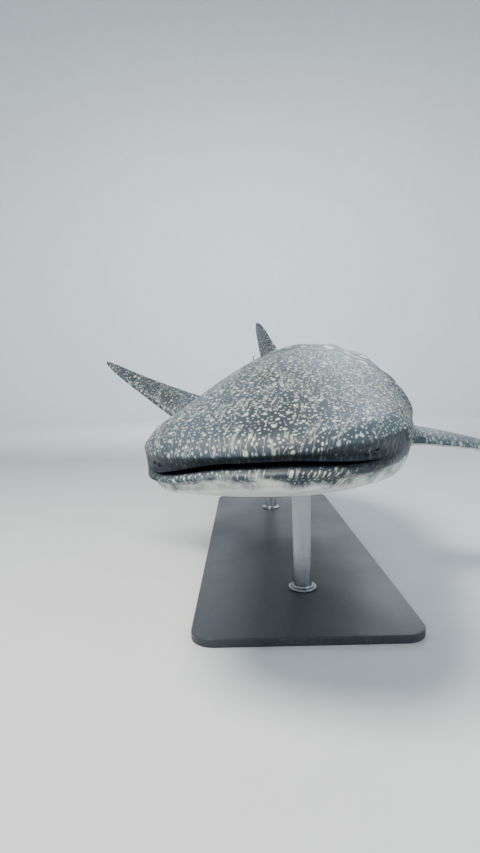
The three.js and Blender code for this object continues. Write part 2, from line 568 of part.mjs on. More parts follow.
// Stand: a flat base with two short rods, each with a round foot, up to the belly.
const BASE = { length: 3300, width: 1180, thickness: 44, corner: 120, bevel: 6 };
const ROD_RADIUS = 55;
const ROD_STATIONS = [0.2, 0.53];
function baseShape() {
  const [w, l, r] = [BASE.width / 2 - BASE.bevel, BASE.length / 2 - BASE.bevel, BASE.corner];
  const shape = new THREE.Shape();
  shape.moveTo(-w + r, -l);
  shape.lineTo(w - r, -l);
  shape.absarc(w - r, -l + r, r, -Math.PI / 2, 0);
  shape.absarc(w - r, l - r, r, 0, Math.PI / 2);
  shape.absarc(-w + r, l - r, r, Math.PI / 2, Math.PI);
  shape.absarc(-w + r, -l + r, r, Math.PI, 1.5 * Math.PI);
  return shape;
}
const baseGeometry = new THREE.ExtrudeGeometry(baseShape(), {
  depth: BASE.thickness - 2 * BASE.bevel, bevelThickness: BASE.bevel, bevelSize: BASE.bevel,
  bevelSegments: 1, curveSegments: 6});
baseGeometry.translate(0, 0, BASE.bevel);

function rod(f) {
  const { at } = frameAt(fraction(f));
  const foot = BASE.thickness + GAP;
  const outline = [[0, foot], [ROD_RADIUS + 28, foot], [ROD_RADIUS + 28, foot + 14],
    [ROD_RADIUS, foot + 24], [ROD_RADIUS, at.z], [0, at.z]];
  const lathe = new THREE.LatheGeometry(outline.map(([r, z]) => new THREE.Vector2(r, z)), 24);
  lathe.rotateX(Math.PI / 2);
  lathe.translate(at.x, at.y, 0);
  const positions = lathe.attributes.position;
  const triangles = [];
  for (let i = 0; i < lathe.index.count; i += 3) {
    triangles.push([0, 1, 2].map((k) =>
      new THREE.Vector3().fromBufferAttribute(positions, lathe.index.array[i + k])));
  }
  return largest(solidFrom(triangles).subtract(bodyGrown));
}
const rods = ROD_STATIONS.map(rod);

// Materials
const SKIN = { color: 0x47606f, roughness: 0.55, metalness: 0 };
const EYE = { color: 0x101418, roughness: 0.12, metalness: 0 };
const STEEL = { color: 0x8f9498, roughness: 0.35, metalness: 0.9 };
const BOARD = { color: 0x2c2f33, roughness: 0.5, metalness: 0 };

const whaleShark = new THREE.Group();
function node(name, solid, look) {
  const { vertProperties, triVerts } = solid.getMesh();
  const geometry = new THREE.BufferGeometry();
  geometry.setAttribute("position", new THREE.BufferAttribute(vertProperties, 3));
  geometry.setIndex(new THREE.BufferAttribute(triVerts, 1));
  const mesh = new THREE.Mesh(geometry, new THREE.MeshStandardMaterial(look));
  mesh.name = name;
  whaleShark.add(mesh);
}
node("head", head, SKIN);
node("lower_jaw", lowerJaw, SKIN);
node("shoulder", shoulder, SKIN);
node("trunk", trunk, SKIN);
node("flank", flank, SKIN);
node("tail", tail, SKIN);
node("first_dorsal_fin", firstDorsal, SKIN);
node("second_dorsal_fin", secondDorsal, SKIN);
node("anal_fin", anal, SKIN);
node("pectoral_fin_left", pectoralLeft, SKIN);
node("pectoral_fin_right", pectoralRight, SKIN);
node("pelvic_fin_left", pelvics[0], SKIN);
node("pelvic_fin_right", pelvics[1], SKIN);
node("caudal_fin_upper", upperLobe, SKIN);
node("caudal_fin_lower", lowerLobe, SKIN);
node("eye_left", eyes[0], EYE);
node("eye_right", eyes[1], EYE);
node("stand_rod_front", rods[0], STEEL);
node("stand_rod_rear", rods[1], STEEL);
const base = new THREE.Mesh(baseGeometry, new THREE.MeshStandardMaterial(BOARD));
base.name = "stand_base";
whaleShark.add(base);

export default whaleShark;
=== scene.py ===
import math

import bpy
import numpy as np
from mathutils import Matrix, Vector


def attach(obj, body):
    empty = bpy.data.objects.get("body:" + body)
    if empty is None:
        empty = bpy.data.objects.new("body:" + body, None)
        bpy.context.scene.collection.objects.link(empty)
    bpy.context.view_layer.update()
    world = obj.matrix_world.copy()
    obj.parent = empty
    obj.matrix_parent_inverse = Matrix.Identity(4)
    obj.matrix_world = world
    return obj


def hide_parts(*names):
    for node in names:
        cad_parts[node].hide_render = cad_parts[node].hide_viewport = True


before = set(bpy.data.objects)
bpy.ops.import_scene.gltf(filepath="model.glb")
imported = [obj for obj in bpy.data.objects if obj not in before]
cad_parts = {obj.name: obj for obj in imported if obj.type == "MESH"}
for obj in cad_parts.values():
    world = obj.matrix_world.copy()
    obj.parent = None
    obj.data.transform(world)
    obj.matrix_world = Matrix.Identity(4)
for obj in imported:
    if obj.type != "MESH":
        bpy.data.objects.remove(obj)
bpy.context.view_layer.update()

# The skin. A whale shark is one unbroken hide from its lips to the tips of its tail, tough and matt, over a
# broad flat head and a ridged trunk. Here it is a single shell in the place of all the solids of flesh. It
# is lofted along a bent spine, with the mouth folded in and the fins set on, and two rods carry its belly.

# Sizes are in millimetres and degrees. Profiles are fractions of the length, by the distance from the snout.
LENGTH = 6500.0
BACK_HEIGHT = [
    (0.0, 0.0078), (0.03, 0.0192), (0.06, 0.0292), (0.115, 0.0452), (0.16, 0.055), (0.22, 0.0655),
    (0.3, 0.0755), (0.38, 0.0805), (0.45, 0.0802), (0.52, 0.072), (0.6, 0.058), (0.68, 0.0445),
    (0.75, 0.0345), (0.8, 0.031)]
BELLY_DEPTH = [
    (0.0, 0.0165), (0.03, 0.0275), (0.06, 0.0375), (0.115, 0.053), (0.16, 0.063), (0.22, 0.0722),
    (0.3, 0.076), (0.38, 0.0722), (0.45, 0.0645), (0.52, 0.0542), (0.6, 0.0395), (0.68, 0.0275),
    (0.75, 0.02), (0.8, 0.0225)]
HALF_WIDTH = [
    (0.115, 0.0885), (0.16, 0.0918), (0.22, 0.0926), (0.3, 0.0856), (0.38, 0.0757), (0.45, 0.0655),
    (0.52, 0.0545), (0.6, 0.0415), (0.68, 0.03), (0.74, 0.022), (0.775, 0.0145), (0.8, 0.0058)]
DOME = 0.115 * LENGTH  # the head's front, a squared-off dome in plan
SQUARENESS = 2.8
HEAD_HALF_WIDTH = HALF_WIDTH[0][1] * LENGTH
LIP_RADIUS = 62.0
# A row is a place on the girth, from 0 on the back to 180 on the belly. A bearing is a place round the
# dome, from 0 at the snout.
MOUTH_ROW, MOUTH_CORNER, MOUTH_GAPE, MOUTH_DEPTH, MOUTH_HOLLOW = 93.8, 37.0, 22.0, 250.0, 62.0
CORNER_DROP = {"left": 28.0, "right": 42.0}
UPPER_LIP_ROLL, UPPER_LIP_HEIGHT = 25, 36
LOWER_LIP = [(14, 0, 10), (-18, 30, 17), (15, 68, 15)]  # height, distance below the slit, and width
UPPER_LIP_EASE, LOWER_LIP_EASE = 34, 90  # how far from the slit the corners' drop fades
TAIL_END = 0.8
# The spine starts at the snout. Each of its angles is given at the snout, and then by how much it changes
# between which two shares of the length.
SNOUT = np.array([-280.0, -2300.0, 1010.0])
YAW = (14, (-35, 0.3, 0.46), (25, 0.5, 0.7))
PITCH = (4, (-7.8, 0.1, 0.3), (-1.6, 0.3, 0.6))
BANK = (3.2, (6, 0.1, 0.3), (-5, 0.45, 0.75))
GILLS = [0.15, 0.1665, 0.183, 0.1995, 0.219]
GILL_RISE, GILL_CUT, GILL_FLAP, GILL_HOLLOW, GILL_LEAN = 13, 27, 75, 45, 0.5
# Ridges along the back and flanks: row, height, width in degrees, and where each starts and ends.
RIDGES = [
    (0, 9, 5, (0.2, 0.3), (0.6, 0.7)), (23, 15, 4.2, (0.19, 0.27), (0.62, 0.7)),
    (42, 17, 4.2, (0.16, 0.24), (0.66, 0.74)), (63, 18, 4.2, (0.25, 0.33), (0.9, 0.95))]
KEEL_FROM, KEEL_FULL, KEEL_HEIGHT, KEEL_ROW, KEEL_WIDTH = 0.62, 0.73, 62, 88, 9


def smooth(low, high, value):
    t = np.clip((np.asarray(value, float) - low) / (high - low), 0, 1)
    return t * t * (3 - 2 * t)


def hump(value, width):
    return np.exp(-((value / width) ** 2))


def sized(stations, s):
    """The profile's smooth curve at s, in millimetres."""
    x, y = np.array(stations, float).T
    last = len(x) - 1
    low, high = np.maximum(np.arange(last + 1) - 1, 0), np.minimum(np.arange(last + 1) + 1, last)
    slope = (y[high] - y[low]) / (x[high] - x[low])
    f = np.clip(np.asarray(s, float) / LENGTH, x[0], x[-1])
    i = np.clip(np.searchsorted(x, f, side="right") - 1, 0, last - 1)
    h = x[i + 1] - x[i]
    t = (f - x[i]) / h
    curve = (1 + 2 * t) * (1 - t) ** 2 * y[i] + t * t * (3 - 2 * t) * y[i + 1]
    return LENGTH * (curve + t * (1 - t) ** 2 * h * slope[i] - t * t * (1 - t) * h * slope[i + 1])


def unit(v):
    return v / np.maximum(np.linalg.norm(v, axis=-1, keepdims=True), 1e-9)


# The spine's frame at each station is found by stepping along the body.
STEP = 25.0
spine_s = np.arange(-STEP, LENGTH * 1.02 + 1, STEP)


def along_spine(at_snout, *bends):
    """One of the spine's angles at each step, in radians."""
    angle = at_snout
    for change, start, end in bends:
        angle = angle + change * smooth(start, end, spine_s / LENGTH)
    return np.radians(angle)


yaw, pitch, bank = along_spine(*YAW), along_spine(*PITCH), along_spine(*BANK)
aft = np.stack([np.sin(yaw) * np.cos(pitch), np.cos(yaw) * np.cos(pitch), np.sin(pitch)], -1)
level = unit(np.cross(aft, [0, 0, 1]))
left = level * np.cos(bank)[:, None] + np.cross(level, aft) * np.sin(bank)[:, None]
up = unit(np.cross(left, aft))
moves = np.where((spine_s > 0)[:, None], aft * STEP, 0)
spine = {"at": SNOUT + np.cumsum(moves, 0), "aft": aft, "left": left, "up": up}


def frame_at(s):
    place_in = np.maximum(0, np.asarray(s, float)) / STEP + 1
    k = np.clip(np.floor(place_in).astype(int), 0, len(spine_s) - 2)
    t = (place_in - k)[..., None]
    return {name: v[k] * (1 - t) + v[k + 1] * t for name, v in spine.items()}


def place(points):
    """Points (s, x, z) along, left of and above the spine, as world points in millimetres."""
    s, x, z = points[..., 0], points[..., 1], points[..., 2]
    f = frame_at(s)
    ahead = np.minimum(0, s)[..., None]
    return f["at"] + f["aft"] * ahead + f["left"] * x[..., None] + f["up"] * z[..., None]


def half_width(s):
    ahead = np.clip((DOME - s) / DOME, 0, 1)
    dome = HEAD_HALF_WIDTH * np.maximum(0, 1 - ahead ** SQUARENESS) ** (1 / SQUARENESS)
    return np.where(s >= DOME, sized(HALF_WIDTH, s), dome)


def skin_height(s, x, inset, is_back):
    """How far the back or the belly lies from the spine, x to the side and inset from the edge."""
    stations, p, q, part = (BACK_HEIGHT, 1.8, 1.25, 0.3) if is_back else (BELLY_DEPTH, 2.3, 1.5, 0.34)
    full = sized(stations, s)
    trunk = smooth(0.1, 0.3, s / LENGTH)
    rim = stations[0][1] * LENGTH * (1 - trunk) + part * full * trunk
    edge = np.minimum(rim, full * 0.94)
    width = np.maximum(half_width(s), 1)
    across = np.minimum(1, np.abs(x) / width)
    arch = np.maximum(0, 1 - across ** p) ** (1 / q)
    rounding = LIP_RADIUS * (1 - trunk) + 0.5 * width * trunk
    inside = np.minimum(1, np.maximum(0, inset) / np.minimum(rounding, width * 0.8))
    return (edge + (full - edge) * arch) * np.sqrt(1 - (1 - inside) ** 2)


def both_sides(s, x, inset, row):
    return np.where(row < 90, skin_height(s, x, inset, True), -skin_height(s, x, inset, False))


def gill_relief(f, row):
    """Each gill flap swells backwards, drops at its free edge and leaves a hollow behind it."""
    window = smooth(52, 62, row) * (1 - smooth(112, 124, row))
    relief = np.zeros(np.broadcast(f, row).shape)
    for gill in GILLS:
        past = (f - gill) * LENGTH - (row - 85) * GILL_LEAN
        swell = np.where((past > -GILL_FLAP) & (past <= 0), GILL_RISE * (1 + past / GILL_FLAP) ** 2, 0)
        cut = GILL_RISE - GILL_CUT * smooth(0, 7, past)
        cut = cut + (GILL_CUT - GILL_RISE) * smooth(8, GILL_HOLLOW, past)
        relief = relief + swell + np.where((past > 0) & (past < GILL_HOLLOW), cut, 0)
    return relief * window


def ridge_relief(f, row):
    relief = 0
    for i, (at, height, width, start, end) in enumerate(RIDGES):
        strength = smooth(*start, f) * (1 - smooth(*end, f))
        drift = (KEEL_ROW - at) * smooth(0.5, KEEL_FULL, f) if i == 3 else 0
        relief = relief + height * strength * hump(row - at - drift, width)
    keel = smooth(KEEL_FROM, KEEL_FULL, f) * (1 - smooth(0.775, 0.8, f))
    return relief + KEEL_HEIGHT * keel * hump(row - KEEL_ROW, KEEL_WIDTH)


def trunk_base(s, row, side):
    s, row = np.broadcast_arrays(s, row)
    width = half_width(s)
    x = width * np.sin(np.radians(row))
    return np.stack([s, side * x, both_sides(s, x, width - x, row)], -1)


def trunk_skin(s, row, side):
    step = 0.4  # in millimetres along, and in degrees round
    along = trunk_base(s + step, row, side) - trunk_base(s - step, row, side)
    above, below = np.maximum(0, row - step), np.minimum(180, row + step)
    out = unit(np.cross(along, trunk_base(s, below, side) - trunk_base(s, above, side))) * side
    f = s / LENGTH
    relief = ridge_relief(f, row) + gill_relief(f, row)
    return trunk_base(s, row, side) + out * relief[..., None]


def dome_base(bearing, row):
    bearing, row = np.broadcast_arrays(bearing, row)
    reach = ((np.abs(np.sin(bearing)) / HEAD_HALF_WIDTH) ** SQUARENESS
             + (np.abs(np.cos(bearing)) / DOME) ** SQUARENESS) ** (-1 / SQUARENESS)
    inward = np.sin(np.radians(row))
    s, x = DOME - reach * np.cos(bearing) * inward, reach * np.sin(bearing) * inward
    return np.stack([s, x, both_sides(s, x, reach * (1 - inward), row)], -1)


def dome_skin(bearing, row, part=0):
    """part is -1 on the upper lip's edge, 1 on the lower lip's, and 0 elsewhere."""
    bearing, row = np.broadcast_arrays(bearing, row)
    point = dome_base(bearing, row).copy()
    corner, turned = math.radians(MOUTH_CORNER), np.abs(bearing)
    gape = np.where(turned < corner, MOUTH_GAPE * (1 - (turned / corner) ** 3), 0)
    lips = 1 - smooth(corner * 0.92, corner * 1.3, turned)
    below = dome_base(bearing, np.full(row.shape, MOUTH_ROW))[..., 2] - point[..., 2]
    lower_roll = sum(height * hump(below - at, width) for height, at, width in LOWER_LIP)
    roll = np.where(below < 0, UPPER_LIP_ROLL * smooth(-UPPER_LIP_HEIGHT, -5, below), lower_roll)
    drop = np.where(bearing > 0, CORNER_DROP["left"], CORNER_DROP["right"])
    drop = drop * smooth(corner * 0.2, corner, turned) * (1 - smooth(corner, corner * 1.7, turned))
    is_edge = row == MOUTH_ROW
    is_upper = (row < MOUTH_ROW) | (is_edge & (part < 0))
    fade = np.exp(-np.maximum(below, 0) / LOWER_LIP_EASE)
    lift = np.where(is_upper, 0.3 * gape * hump(below, 30), -0.7 * gape * fade)
    lift -= drop * np.where(is_upper, smooth(-UPPER_LIP_EASE, 0, below), fade)
    if part == 0:
        lift = np.where(is_edge, -drop, lift)
    centre = np.stack([DOME - point[..., 0], -point[..., 1], np.zeros(row.shape)], -1)
    point[..., 2] += lift
    return point + unit(centre) * (roll * lips)[..., None]


def mouth_lining(bearing, share):
    """A line through the mouth's hollow; share runs from 0 at the upper lip to 1 at the lower."""
    upper = dome_skin(bearing, np.full(bearing.shape, MOUTH_ROW), -1)
    lower = dome_skin(bearing, np.full(bearing.shape, MOUTH_ROW), 1)
    depth = np.sqrt(np.maximum(0, 1 - (bearing / math.radians(MOUTH_CORNER)) ** 2))
    base = dome_base(bearing, np.full(bearing.shape, MOUTH_ROW))
    inwards = unit(np.stack([DOME - base[..., 0], -base[..., 1], np.zeros(bearing.shape)], -1))
    reach = MOUTH_DEPTH * depth * math.sqrt(math.sin(share * math.pi))
    point = upper * (1 - share) + lower * share + inwards * reach[:, None]
    point[..., 2] += depth * MOUTH_HOLLOW * 0.5 * math.sin(share * 2 * math.pi)
    return point


def between(marks, times):
    """The marks with each gap cut into the same number of steps."""
    fine = np.linspace(0, len(marks) - 1, (len(marks) - 1) * times + 1)
    return np.interp(fine, np.arange(len(marks)), marks)


# Rows are close together at the ridges and the lips.
ROWS_UPPER = between([0, 6, 15, 19, 23, 27, 32, 38, 42, 46, 52, 59, 63, 67, 74, 80, 85, 88, 89.3, 90.6, 91.7,
                      92.8, MOUTH_ROW], 3)[:-1]
ROWS_LOWER = between([MOUTH_ROW, 97, 99.5, 102.5, 106, 111, 119, 130, 145, 162, 180], 4)[1:]
LINING = [0.03, 0.08, 0.16, 0.26, 0.38, 0.5, 0.62, 0.74, 0.84, 0.92, 0.97]

vertices, faces, rows_of, hollow_shade_of, rest_of, chart_of = [], [], [], [], [], []


def add_grid(world, rest, row, inside, chart, closed, ends, is_fin=0.0):
    """Adds a grid of points as quads. ends are true where the first or last line is closed by a face."""
    lines, around = world.shape[:2]
    start = sum(map(len, vertices))
    vertices.append(world.reshape(-1, 3))
    rest_of.append(rest.reshape(-1, 3))
    rows_of.append(np.broadcast_to(row, (lines, around)).reshape(-1))
    hollow_shade_of.append(np.broadcast_to(inside, (lines, around)).reshape(-1))
    chart_of.append(np.stack(np.broadcast_arrays(chart[0], chart[1], is_fin * 1000), -1).reshape(-1, 3))
    span = around if closed else around - 1
    for i in range(lines - 1):
        a, b = start + i * around, start + (i + 1) * around
        for j in range(span):
            k = (j + 1) % around
            faces.append((a + j, a + k, b + k, b + j))
    if ends[0]:
        faces.append(tuple(start + j for j in reversed(range(around))))
    if ends[1]:
        faces.append(tuple(start + (lines - 1) * around + j for j in range(around)))


# Front of the head: lines run from the back over the lip, through the mouth and down to the throat. They
# are close together at the eyes and at the corners of the mouth.
degrees = sorted(set(list(range(-90, 91)) + [side * (53 + k / 2) for side in (1, -1) for k in range(-9, 10)]
                     + [side * (MOUTH_CORNER + k / 2) for side in (1, -1) for k in (-3, -1, -0.4, 0, 1, 3)]))
bearings = np.radians(np.array(degrees, float))
is_mouth = (np.abs(bearings) < math.radians(MOUTH_CORNER) - 1e-6)[:, None]
plain = dome_skin(bearings, np.full(bearings.shape, MOUTH_ROW), 0)
fold = [dome_skin(bearings, np.full(bearings.shape, MOUTH_ROW), -1)]
fold += [mouth_lining(bearings, share) for share in LINING]
fold += [dome_skin(bearings, np.full(bearings.shape, MOUTH_ROW), 1)]
# Painted shade deepens from each lip into the mouth
fold_hollow_shade = [min(1.0, min(i, len(fold) - 1 - i) / 2.5) for i in range(len(fold))]
upper, lower = ([dome_skin(bearings, np.full(bearings.shape, row)) for row in rows]
                for rows in (ROWS_UPPER, ROWS_LOWER))
dome = np.stack(upper + [np.where(is_mouth, line, plain) for line in fold] + lower, 1)
dome_rows = np.concatenate([ROWS_UPPER, [MOUTH_ROW] * len(fold), ROWS_LOWER])
dome_hollow_shade = np.concatenate([[0.0] * len(ROWS_UPPER), fold_hollow_shade, [0.0] * len(ROWS_LOWER)])
for side, index in ((-1, 0), (1, -1)):
    dome[index] = trunk_skin(np.full(dome_rows.shape, DOME), dome_rows, side)
dome[:, 0] = trunk_skin(np.array([DOME]), np.array([0.0]), 1)
dome[:, -1] = trunk_skin(np.array([DOME]), np.array([180.0]), 1)

# Trunk: rings from the head to the tail, close together at the gills.
RING_SPACING = 36.0
GILL_RINGS = (-60, -45, -32, -22, -14, -8, -4, 0, 3, 6, 9, 13, 18, 25, 34, 44)
gills_from, gills_to = (GILLS[0] - 0.013) * LENGTH, (GILLS[-1] + 0.011) * LENGTH
marks = list(np.arange(DOME, TAIL_END * LENGTH, RING_SPACING)) + [TAIL_END * LENGTH - 1]
marks = [s for s in marks if not gills_from < s < gills_to]
marks = np.array(sorted(marks + [gill * LENGTH + step for gill in GILLS for step in GILL_RINGS]))
marks = marks[np.concatenate([[True], np.diff(marks) > 1.0])]
ring_rows = np.concatenate([ROWS_UPPER, [MOUTH_ROW], ROWS_LOWER])
left_half = trunk_skin(marks[:, None], ring_rows[None, :], 1)
right_half = trunk_skin(marks[:, None], ring_rows[None, 1:-1][:, ::-1], -1)
trunk = np.concatenate([left_half, right_half], 1)
trunk_rows = np.concatenate([ring_rows, ring_rows[1:-1][::-1]])


def gill_slit_shade(points_s, row):
    """Painted shade in a gill slit: 1 at its bottom, 0 on open skin."""
    depth = -gill_relief(points_s / LENGTH, row)
    return np.clip(depth / 12, 0, 1)


def girth_from_back(half):
    """Distance round the body from the middle of the back, for lines of points."""
    steps = np.linalg.norm(np.diff(half[..., 1:], axis=-2), axis=-1)
    return np.concatenate([np.zeros(steps.shape[:-1] + (1,)), np.cumsum(steps, -1)], -1)


# The chart unrolls the skin for the pattern: the distance along the body, and round it from the back.
left_girth = girth_from_back(left_half)
trunk_girth = np.concatenate([left_girth, -left_girth[:, 1:-1][:, ::-1]], 1)
girth_over_width = (left_girth[0] / np.maximum(left_half[0][:, 1], 30))[1:-1]
stretch_of_row = np.clip(np.interp(dome_rows, ring_rows[1:-1], girth_over_width), 1, 1.6)
HEIGHT_IN_CHART = 0.4  # keeps spots round where the head's edge turns down
dome_chart = (dome[..., 0] + HEIGHT_IN_CHART * np.abs(dome[..., 2]), dome[..., 1] * stretch_of_row[None, :])
height_share = HEIGHT_IN_CHART * (1 - smooth(DOME, 2.2 * DOME, trunk[..., 0]))
trunk_chart = (trunk[..., 0] + height_share * np.abs(trunk[..., 2]), trunk_girth)
add_grid(place(dome), dome, dome_rows[None, :], dome_hollow_shade[None, :] * is_mouth, dome_chart, False,
         (False, False))
# Painted shade in the gill slits
trunk_hollow_shade = gill_slit_shade(marks[:, None], trunk_rows[None, :])
add_grid(place(trunk), trunk, trunk_rows[None, :], trunk_hollow_shade, trunk_chart, True, (False, True))

# Fins are foils with a free rear tip, which flare where they run into the body.
CHORD_STEPS = 0.5 - 0.5 * np.cos(np.linspace(0, math.pi, 19))
SPAN_STEPS = [*np.linspace(0, 0.2, 8), *np.linspace(0.24, 0.9, 18), 0.925, 0.945, 0.962, 0.976, 0.987, 0.995,
              1.0]


def tip_round(share, start):
    return 1.0 if share < start else math.sqrt(max(0.0, 1 - ((share - start) / (1.004 - start)) ** 2))


def flare_at(shape, share, c):
    """How far the fin swells over its root, at c along the chord, to run smoothly into the body."""
    height_over = share * shape["span"] - shape["sink"][0] - (shape["sink"][1] - shape["sink"][0]) * c
    return shape["flare"] * (1 - np.clip(height_over / (2.2 * shape["flare"]), 0, 1)) ** 3


def fin_ring(shape, share, droop):
    """The fin's section at a share of its span: places along the chord, the span and the thickness."""
    v = max(0.0, share)
    lead = shape["tip_aft"] * v ** shape["bow"] + min(0, share) * shape["span"] * 0.3
    back = shape["chord"] + (shape["tip_aft"] + shape["tip_chord"] - shape["chord"]) * v ** shape["hollow"]
    trail = shape["chord"] if share < 0 else back + shape["lobe"] * hump(v - 0.1, 0.07)
    centre = lead + (trail - lead) * 0.62
    closing = tip_round(share, shape["closing"])
    leading, trailing = centre + (lead - centre) * closing, centre + (trail - centre) * closing
    leading, trailing = leading - flare_at(shape, share, 0), trailing + 0.6 * flare_at(shape, share, 1)
    thickness = shape["thick"] * (1 - 0.86 * min(1, v) ** 0.8)
    c = CHORD_STEPS
    foil = 2.969 * np.sqrt(c) - 1.26 * c - 3.516 * c ** 2 + 2.843 * c ** 3 - 1.036 * c ** 4
    half = thickness * foil * 0.5 + (3.5 + flare_at(shape, share, c)) * np.minimum(1, c * 12)
    chord_at = leading + c * (trailing - leading)
    along = np.concatenate([chord_at, chord_at[1:][::-1]])
    normal = np.concatenate([half, -half[1:][::-1]]) + droop * v ** 2
    return np.stack([along, np.full(along.shape, share * shape["span"]), normal], -1)


def set_fin(shape, s, x, z, lean, twist=0.0, sweep=0.0, droop=0.0, rows=(40, 40)):
    """Sets a fin's root at s, x, z; rows are the rows whose colours its two faces take."""
    f = {name: v[0] for name, v in frame_at(np.array([s])).items()}
    out = f["left"] * math.cos(lean) + f["up"] * math.sin(lean)
    out = unit(out + f["aft"] * math.tan(sweep))
    chordwise = unit(f["aft"] - out * np.dot(f["aft"], out))
    spin = Matrix.Rotation(twist, 3, Vector(out))
    chordwise = np.array(spin @ Vector(chordwise))
    face = np.cross(out, chordwise)
    root = place(np.array([[s, x, z]], float))[0]
    rings = np.stack([fin_ring(shape, share, droop) for share in [shape["root"], *SPAN_STEPS]])
    world = root + rings[..., 0:1] * chordwise + rings[..., 1:2] * out + rings[..., 2:3] * face
    rest = np.stack([s + rings[..., 0], x + rings[..., 1] * math.cos(lean),
                     z + rings[..., 1] * math.sin(lean) + rings[..., 2]], -1)
    around = rings.shape[1]
    is_first = np.arange(around) < len(CHORD_STEPS)
    row = np.where(is_first, rows[0], rows[1]).astype(float)
    if np.dot(np.cross(chordwise, out), face) > 0:
        world, rest, row = world[:, ::-1], rest[:, ::-1], row[::-1]
    chart = (s + rings[..., 0], z + rings[..., 1])
    add_grid(world, rest, row[None, :], 0.0, chart, True, (True, True), is_fin=1.0)


def station(f):
    """A share of the length, in millimetres from the snout."""
    return f * LENGTH


DEG = math.pi / 180
# tip_aft is how far the tip lies behind the root's front; bow and hollow curve the leading and trailing
# edges; closing is the share of the span where the tip starts to round off; root is how far the foil runs
# into the body; sink is the depth of the skin over the root, in front and behind.
SHAPE = ("span", "chord", "tip_aft", "tip_chord", "bow", "hollow", "lobe", "thick", "closing", "root",
         "sink", "flare")


def fin_of(*values):
    """A fin's sizes by name; the first four and the lobe are shares of the body's length."""
    shape = dict(zip(SHAPE, values))
    for name in ("span", "chord", "tip_aft", "tip_chord", "lobe"):
        shape[name] *= LENGTH
    return shape


FIRST_DORSAL = fin_of(0.073, 0.086, 0.062, 0.022, 0.95, 1.6, 0.013, 74, 0.78, -0.35, (63, 6), 40)
SECOND_DORSAL = fin_of(0.036, 0.045, 0.033, 0.014, 0.9, 1.5, 0.011, 44, 0.75, -0.4, (60, 14), 22)
ANAL = fin_of(0.035, 0.04, 0.034, 0.012, 0.95, 1.5, 0.01, 40, 0.75, -0.5, (39, 13), 20)
PELVIC = fin_of(0.042, 0.048, 0.032, 0.02, 1.0, 1.3, 0.01, 44, 0.72, -0.6, (98, 42), 24)
PECTORAL = fin_of(0.18, 0.08, 0.098, 0.009, 1.12, 1.9, 0.012, 88, 0.9, -0.16, (178, 162), 45)
UPPER_LOBE = fin_of(0.166, 0.07, 0.2, 0.012, 1.04, 1.35, 0, 74, 0.9, -0.02, (200, 180), 20)
LOWER_LOBE = fin_of(0.105, 0.066, 0.082, 0.012, 1.05, 1.7, 0, 62, 0.86, -0.02, (154, 165), 18)


def height(stations, f, share):
    return float(sized(stations, station(f))) * share


UP, DOWN = 90 * DEG, -90 * DEG
set_fin(FIRST_DORSAL, station(0.435), x=0, z=height(BACK_HEIGHT, 0.48, 0.93), lean=UP)
set_fin(SECOND_DORSAL, station(0.652), x=0, z=height(BACK_HEIGHT, 0.68, 0.9), lean=UP)
set_fin(ANAL, station(0.668), x=0, z=-height(BELLY_DEPTH, 0.69, 0.85), lean=DOWN, rows=(105, 105))
for side, lean in ((1, -38 * DEG), (-1, 218 * DEG)):
    set_fin(PELVIC, station(0.485), x=side * 150, z=-height(BELLY_DEPTH, 0.5, 0.74), lean=lean,
            sweep=12 * DEG, rows=(80, 130)[::side])
set_fin(PECTORAL, station(0.2), x=400, z=-190, lean=-14 * DEG, twist=9 * DEG, droop=-170, rows=(60, 125))
set_fin(PECTORAL, station(0.2), x=-400, z=-235, lean=160.5 * DEG, twist=-33 * DEG, sweep=-6 * DEG,
        droop=-30, rows=(125, 60))
set_fin(UPPER_LOBE, station(0.758), x=0, z=20, lean=UP, rows=(60, 60))
set_fin(LOWER_LOBE, station(0.766), x=0, z=20, lean=DOWN, rows=(85, 85))

# One mesh for the whole body. It carries its unbent place, its row, its place on the chart, and how much
# painted shade darkens it in the mouth and the gill slits.
all_points = np.concatenate(vertices) / 1000
mesh = bpy.data.meshes.new("Skin")
mesh.from_pydata(all_points.tolist(), [], faces)
for name, kind, values in (("rest", "FLOAT_VECTOR", np.concatenate(rest_of) / 1000),
                           ("row", "FLOAT", np.concatenate(rows_of) / 180),
                           ("inside", "FLOAT", np.concatenate(hollow_shade_of)),
                           ("chart", "FLOAT_VECTOR", np.concatenate(chart_of) / 1000)):
    layer = mesh.attributes.new(name, kind, "POINT")
    layer.data.foreach_set("vector" if kind == "FLOAT_VECTOR" else "value", values.astype(np.float32).ravel())
skin = bpy.data.objects.new("Skin", mesh)
bpy.context.collection.objects.link(skin)
bpy.ops.object.select_all(action="DESELECT")
bpy.context.view_layer.objects.active = skin
skin.select_set(True)
bpy.ops.object.mode_set(mode="EDIT")
bpy.ops.mesh.select_all(action="SELECT")
bpy.ops.mesh.remove_doubles(threshold=0.00005)
bpy.ops.mesh.select_all(action="SELECT")
bpy.ops.mesh.normals_make_consistent(inside=False)
bpy.ops.object.mode_set(mode="OBJECT")


# Eye sockets with a raised lid, spiracles, and nostrils with a short barbel: the skin is made finer
# round each and then pushed in or out along its own normal.
EYE_BEARING, EYE_ROW = 53 * DEG, 89.0
SPIRACLE_BEARING, SPIRACLE_ROW = 73 * DEG, 86.5
NOSTRIL_BEARING, NOSTRIL_ROW = 35.2 * DEG, 91.2
BARBEL_BEARING, BARBEL_ROW, BARBEL_LENGTH = 31.8 * DEG, 91.6, 12
# rim: height, distance from the middle, width. pit: depth, and where its floor and its wall end.
# dark: where the shade starts to fade and where it ends. stretch: along the head and down it.
EYE_SOCKET = {"rim": (7, 29, 8), "pit": (17, 15, 23), "dark": (16, 24), "stretch": (1, 1)}
SPIRACLE = {"rim": (3, 21, 7), "pit": (24, 5, 16), "dark": (6, 16), "stretch": (1, 0.75)}
NOSTRIL = {"rim": (2.5, 13, 5), "pit": (13, 3, 10), "dark": (3, 10), "stretch": (1.6, 0.8)}


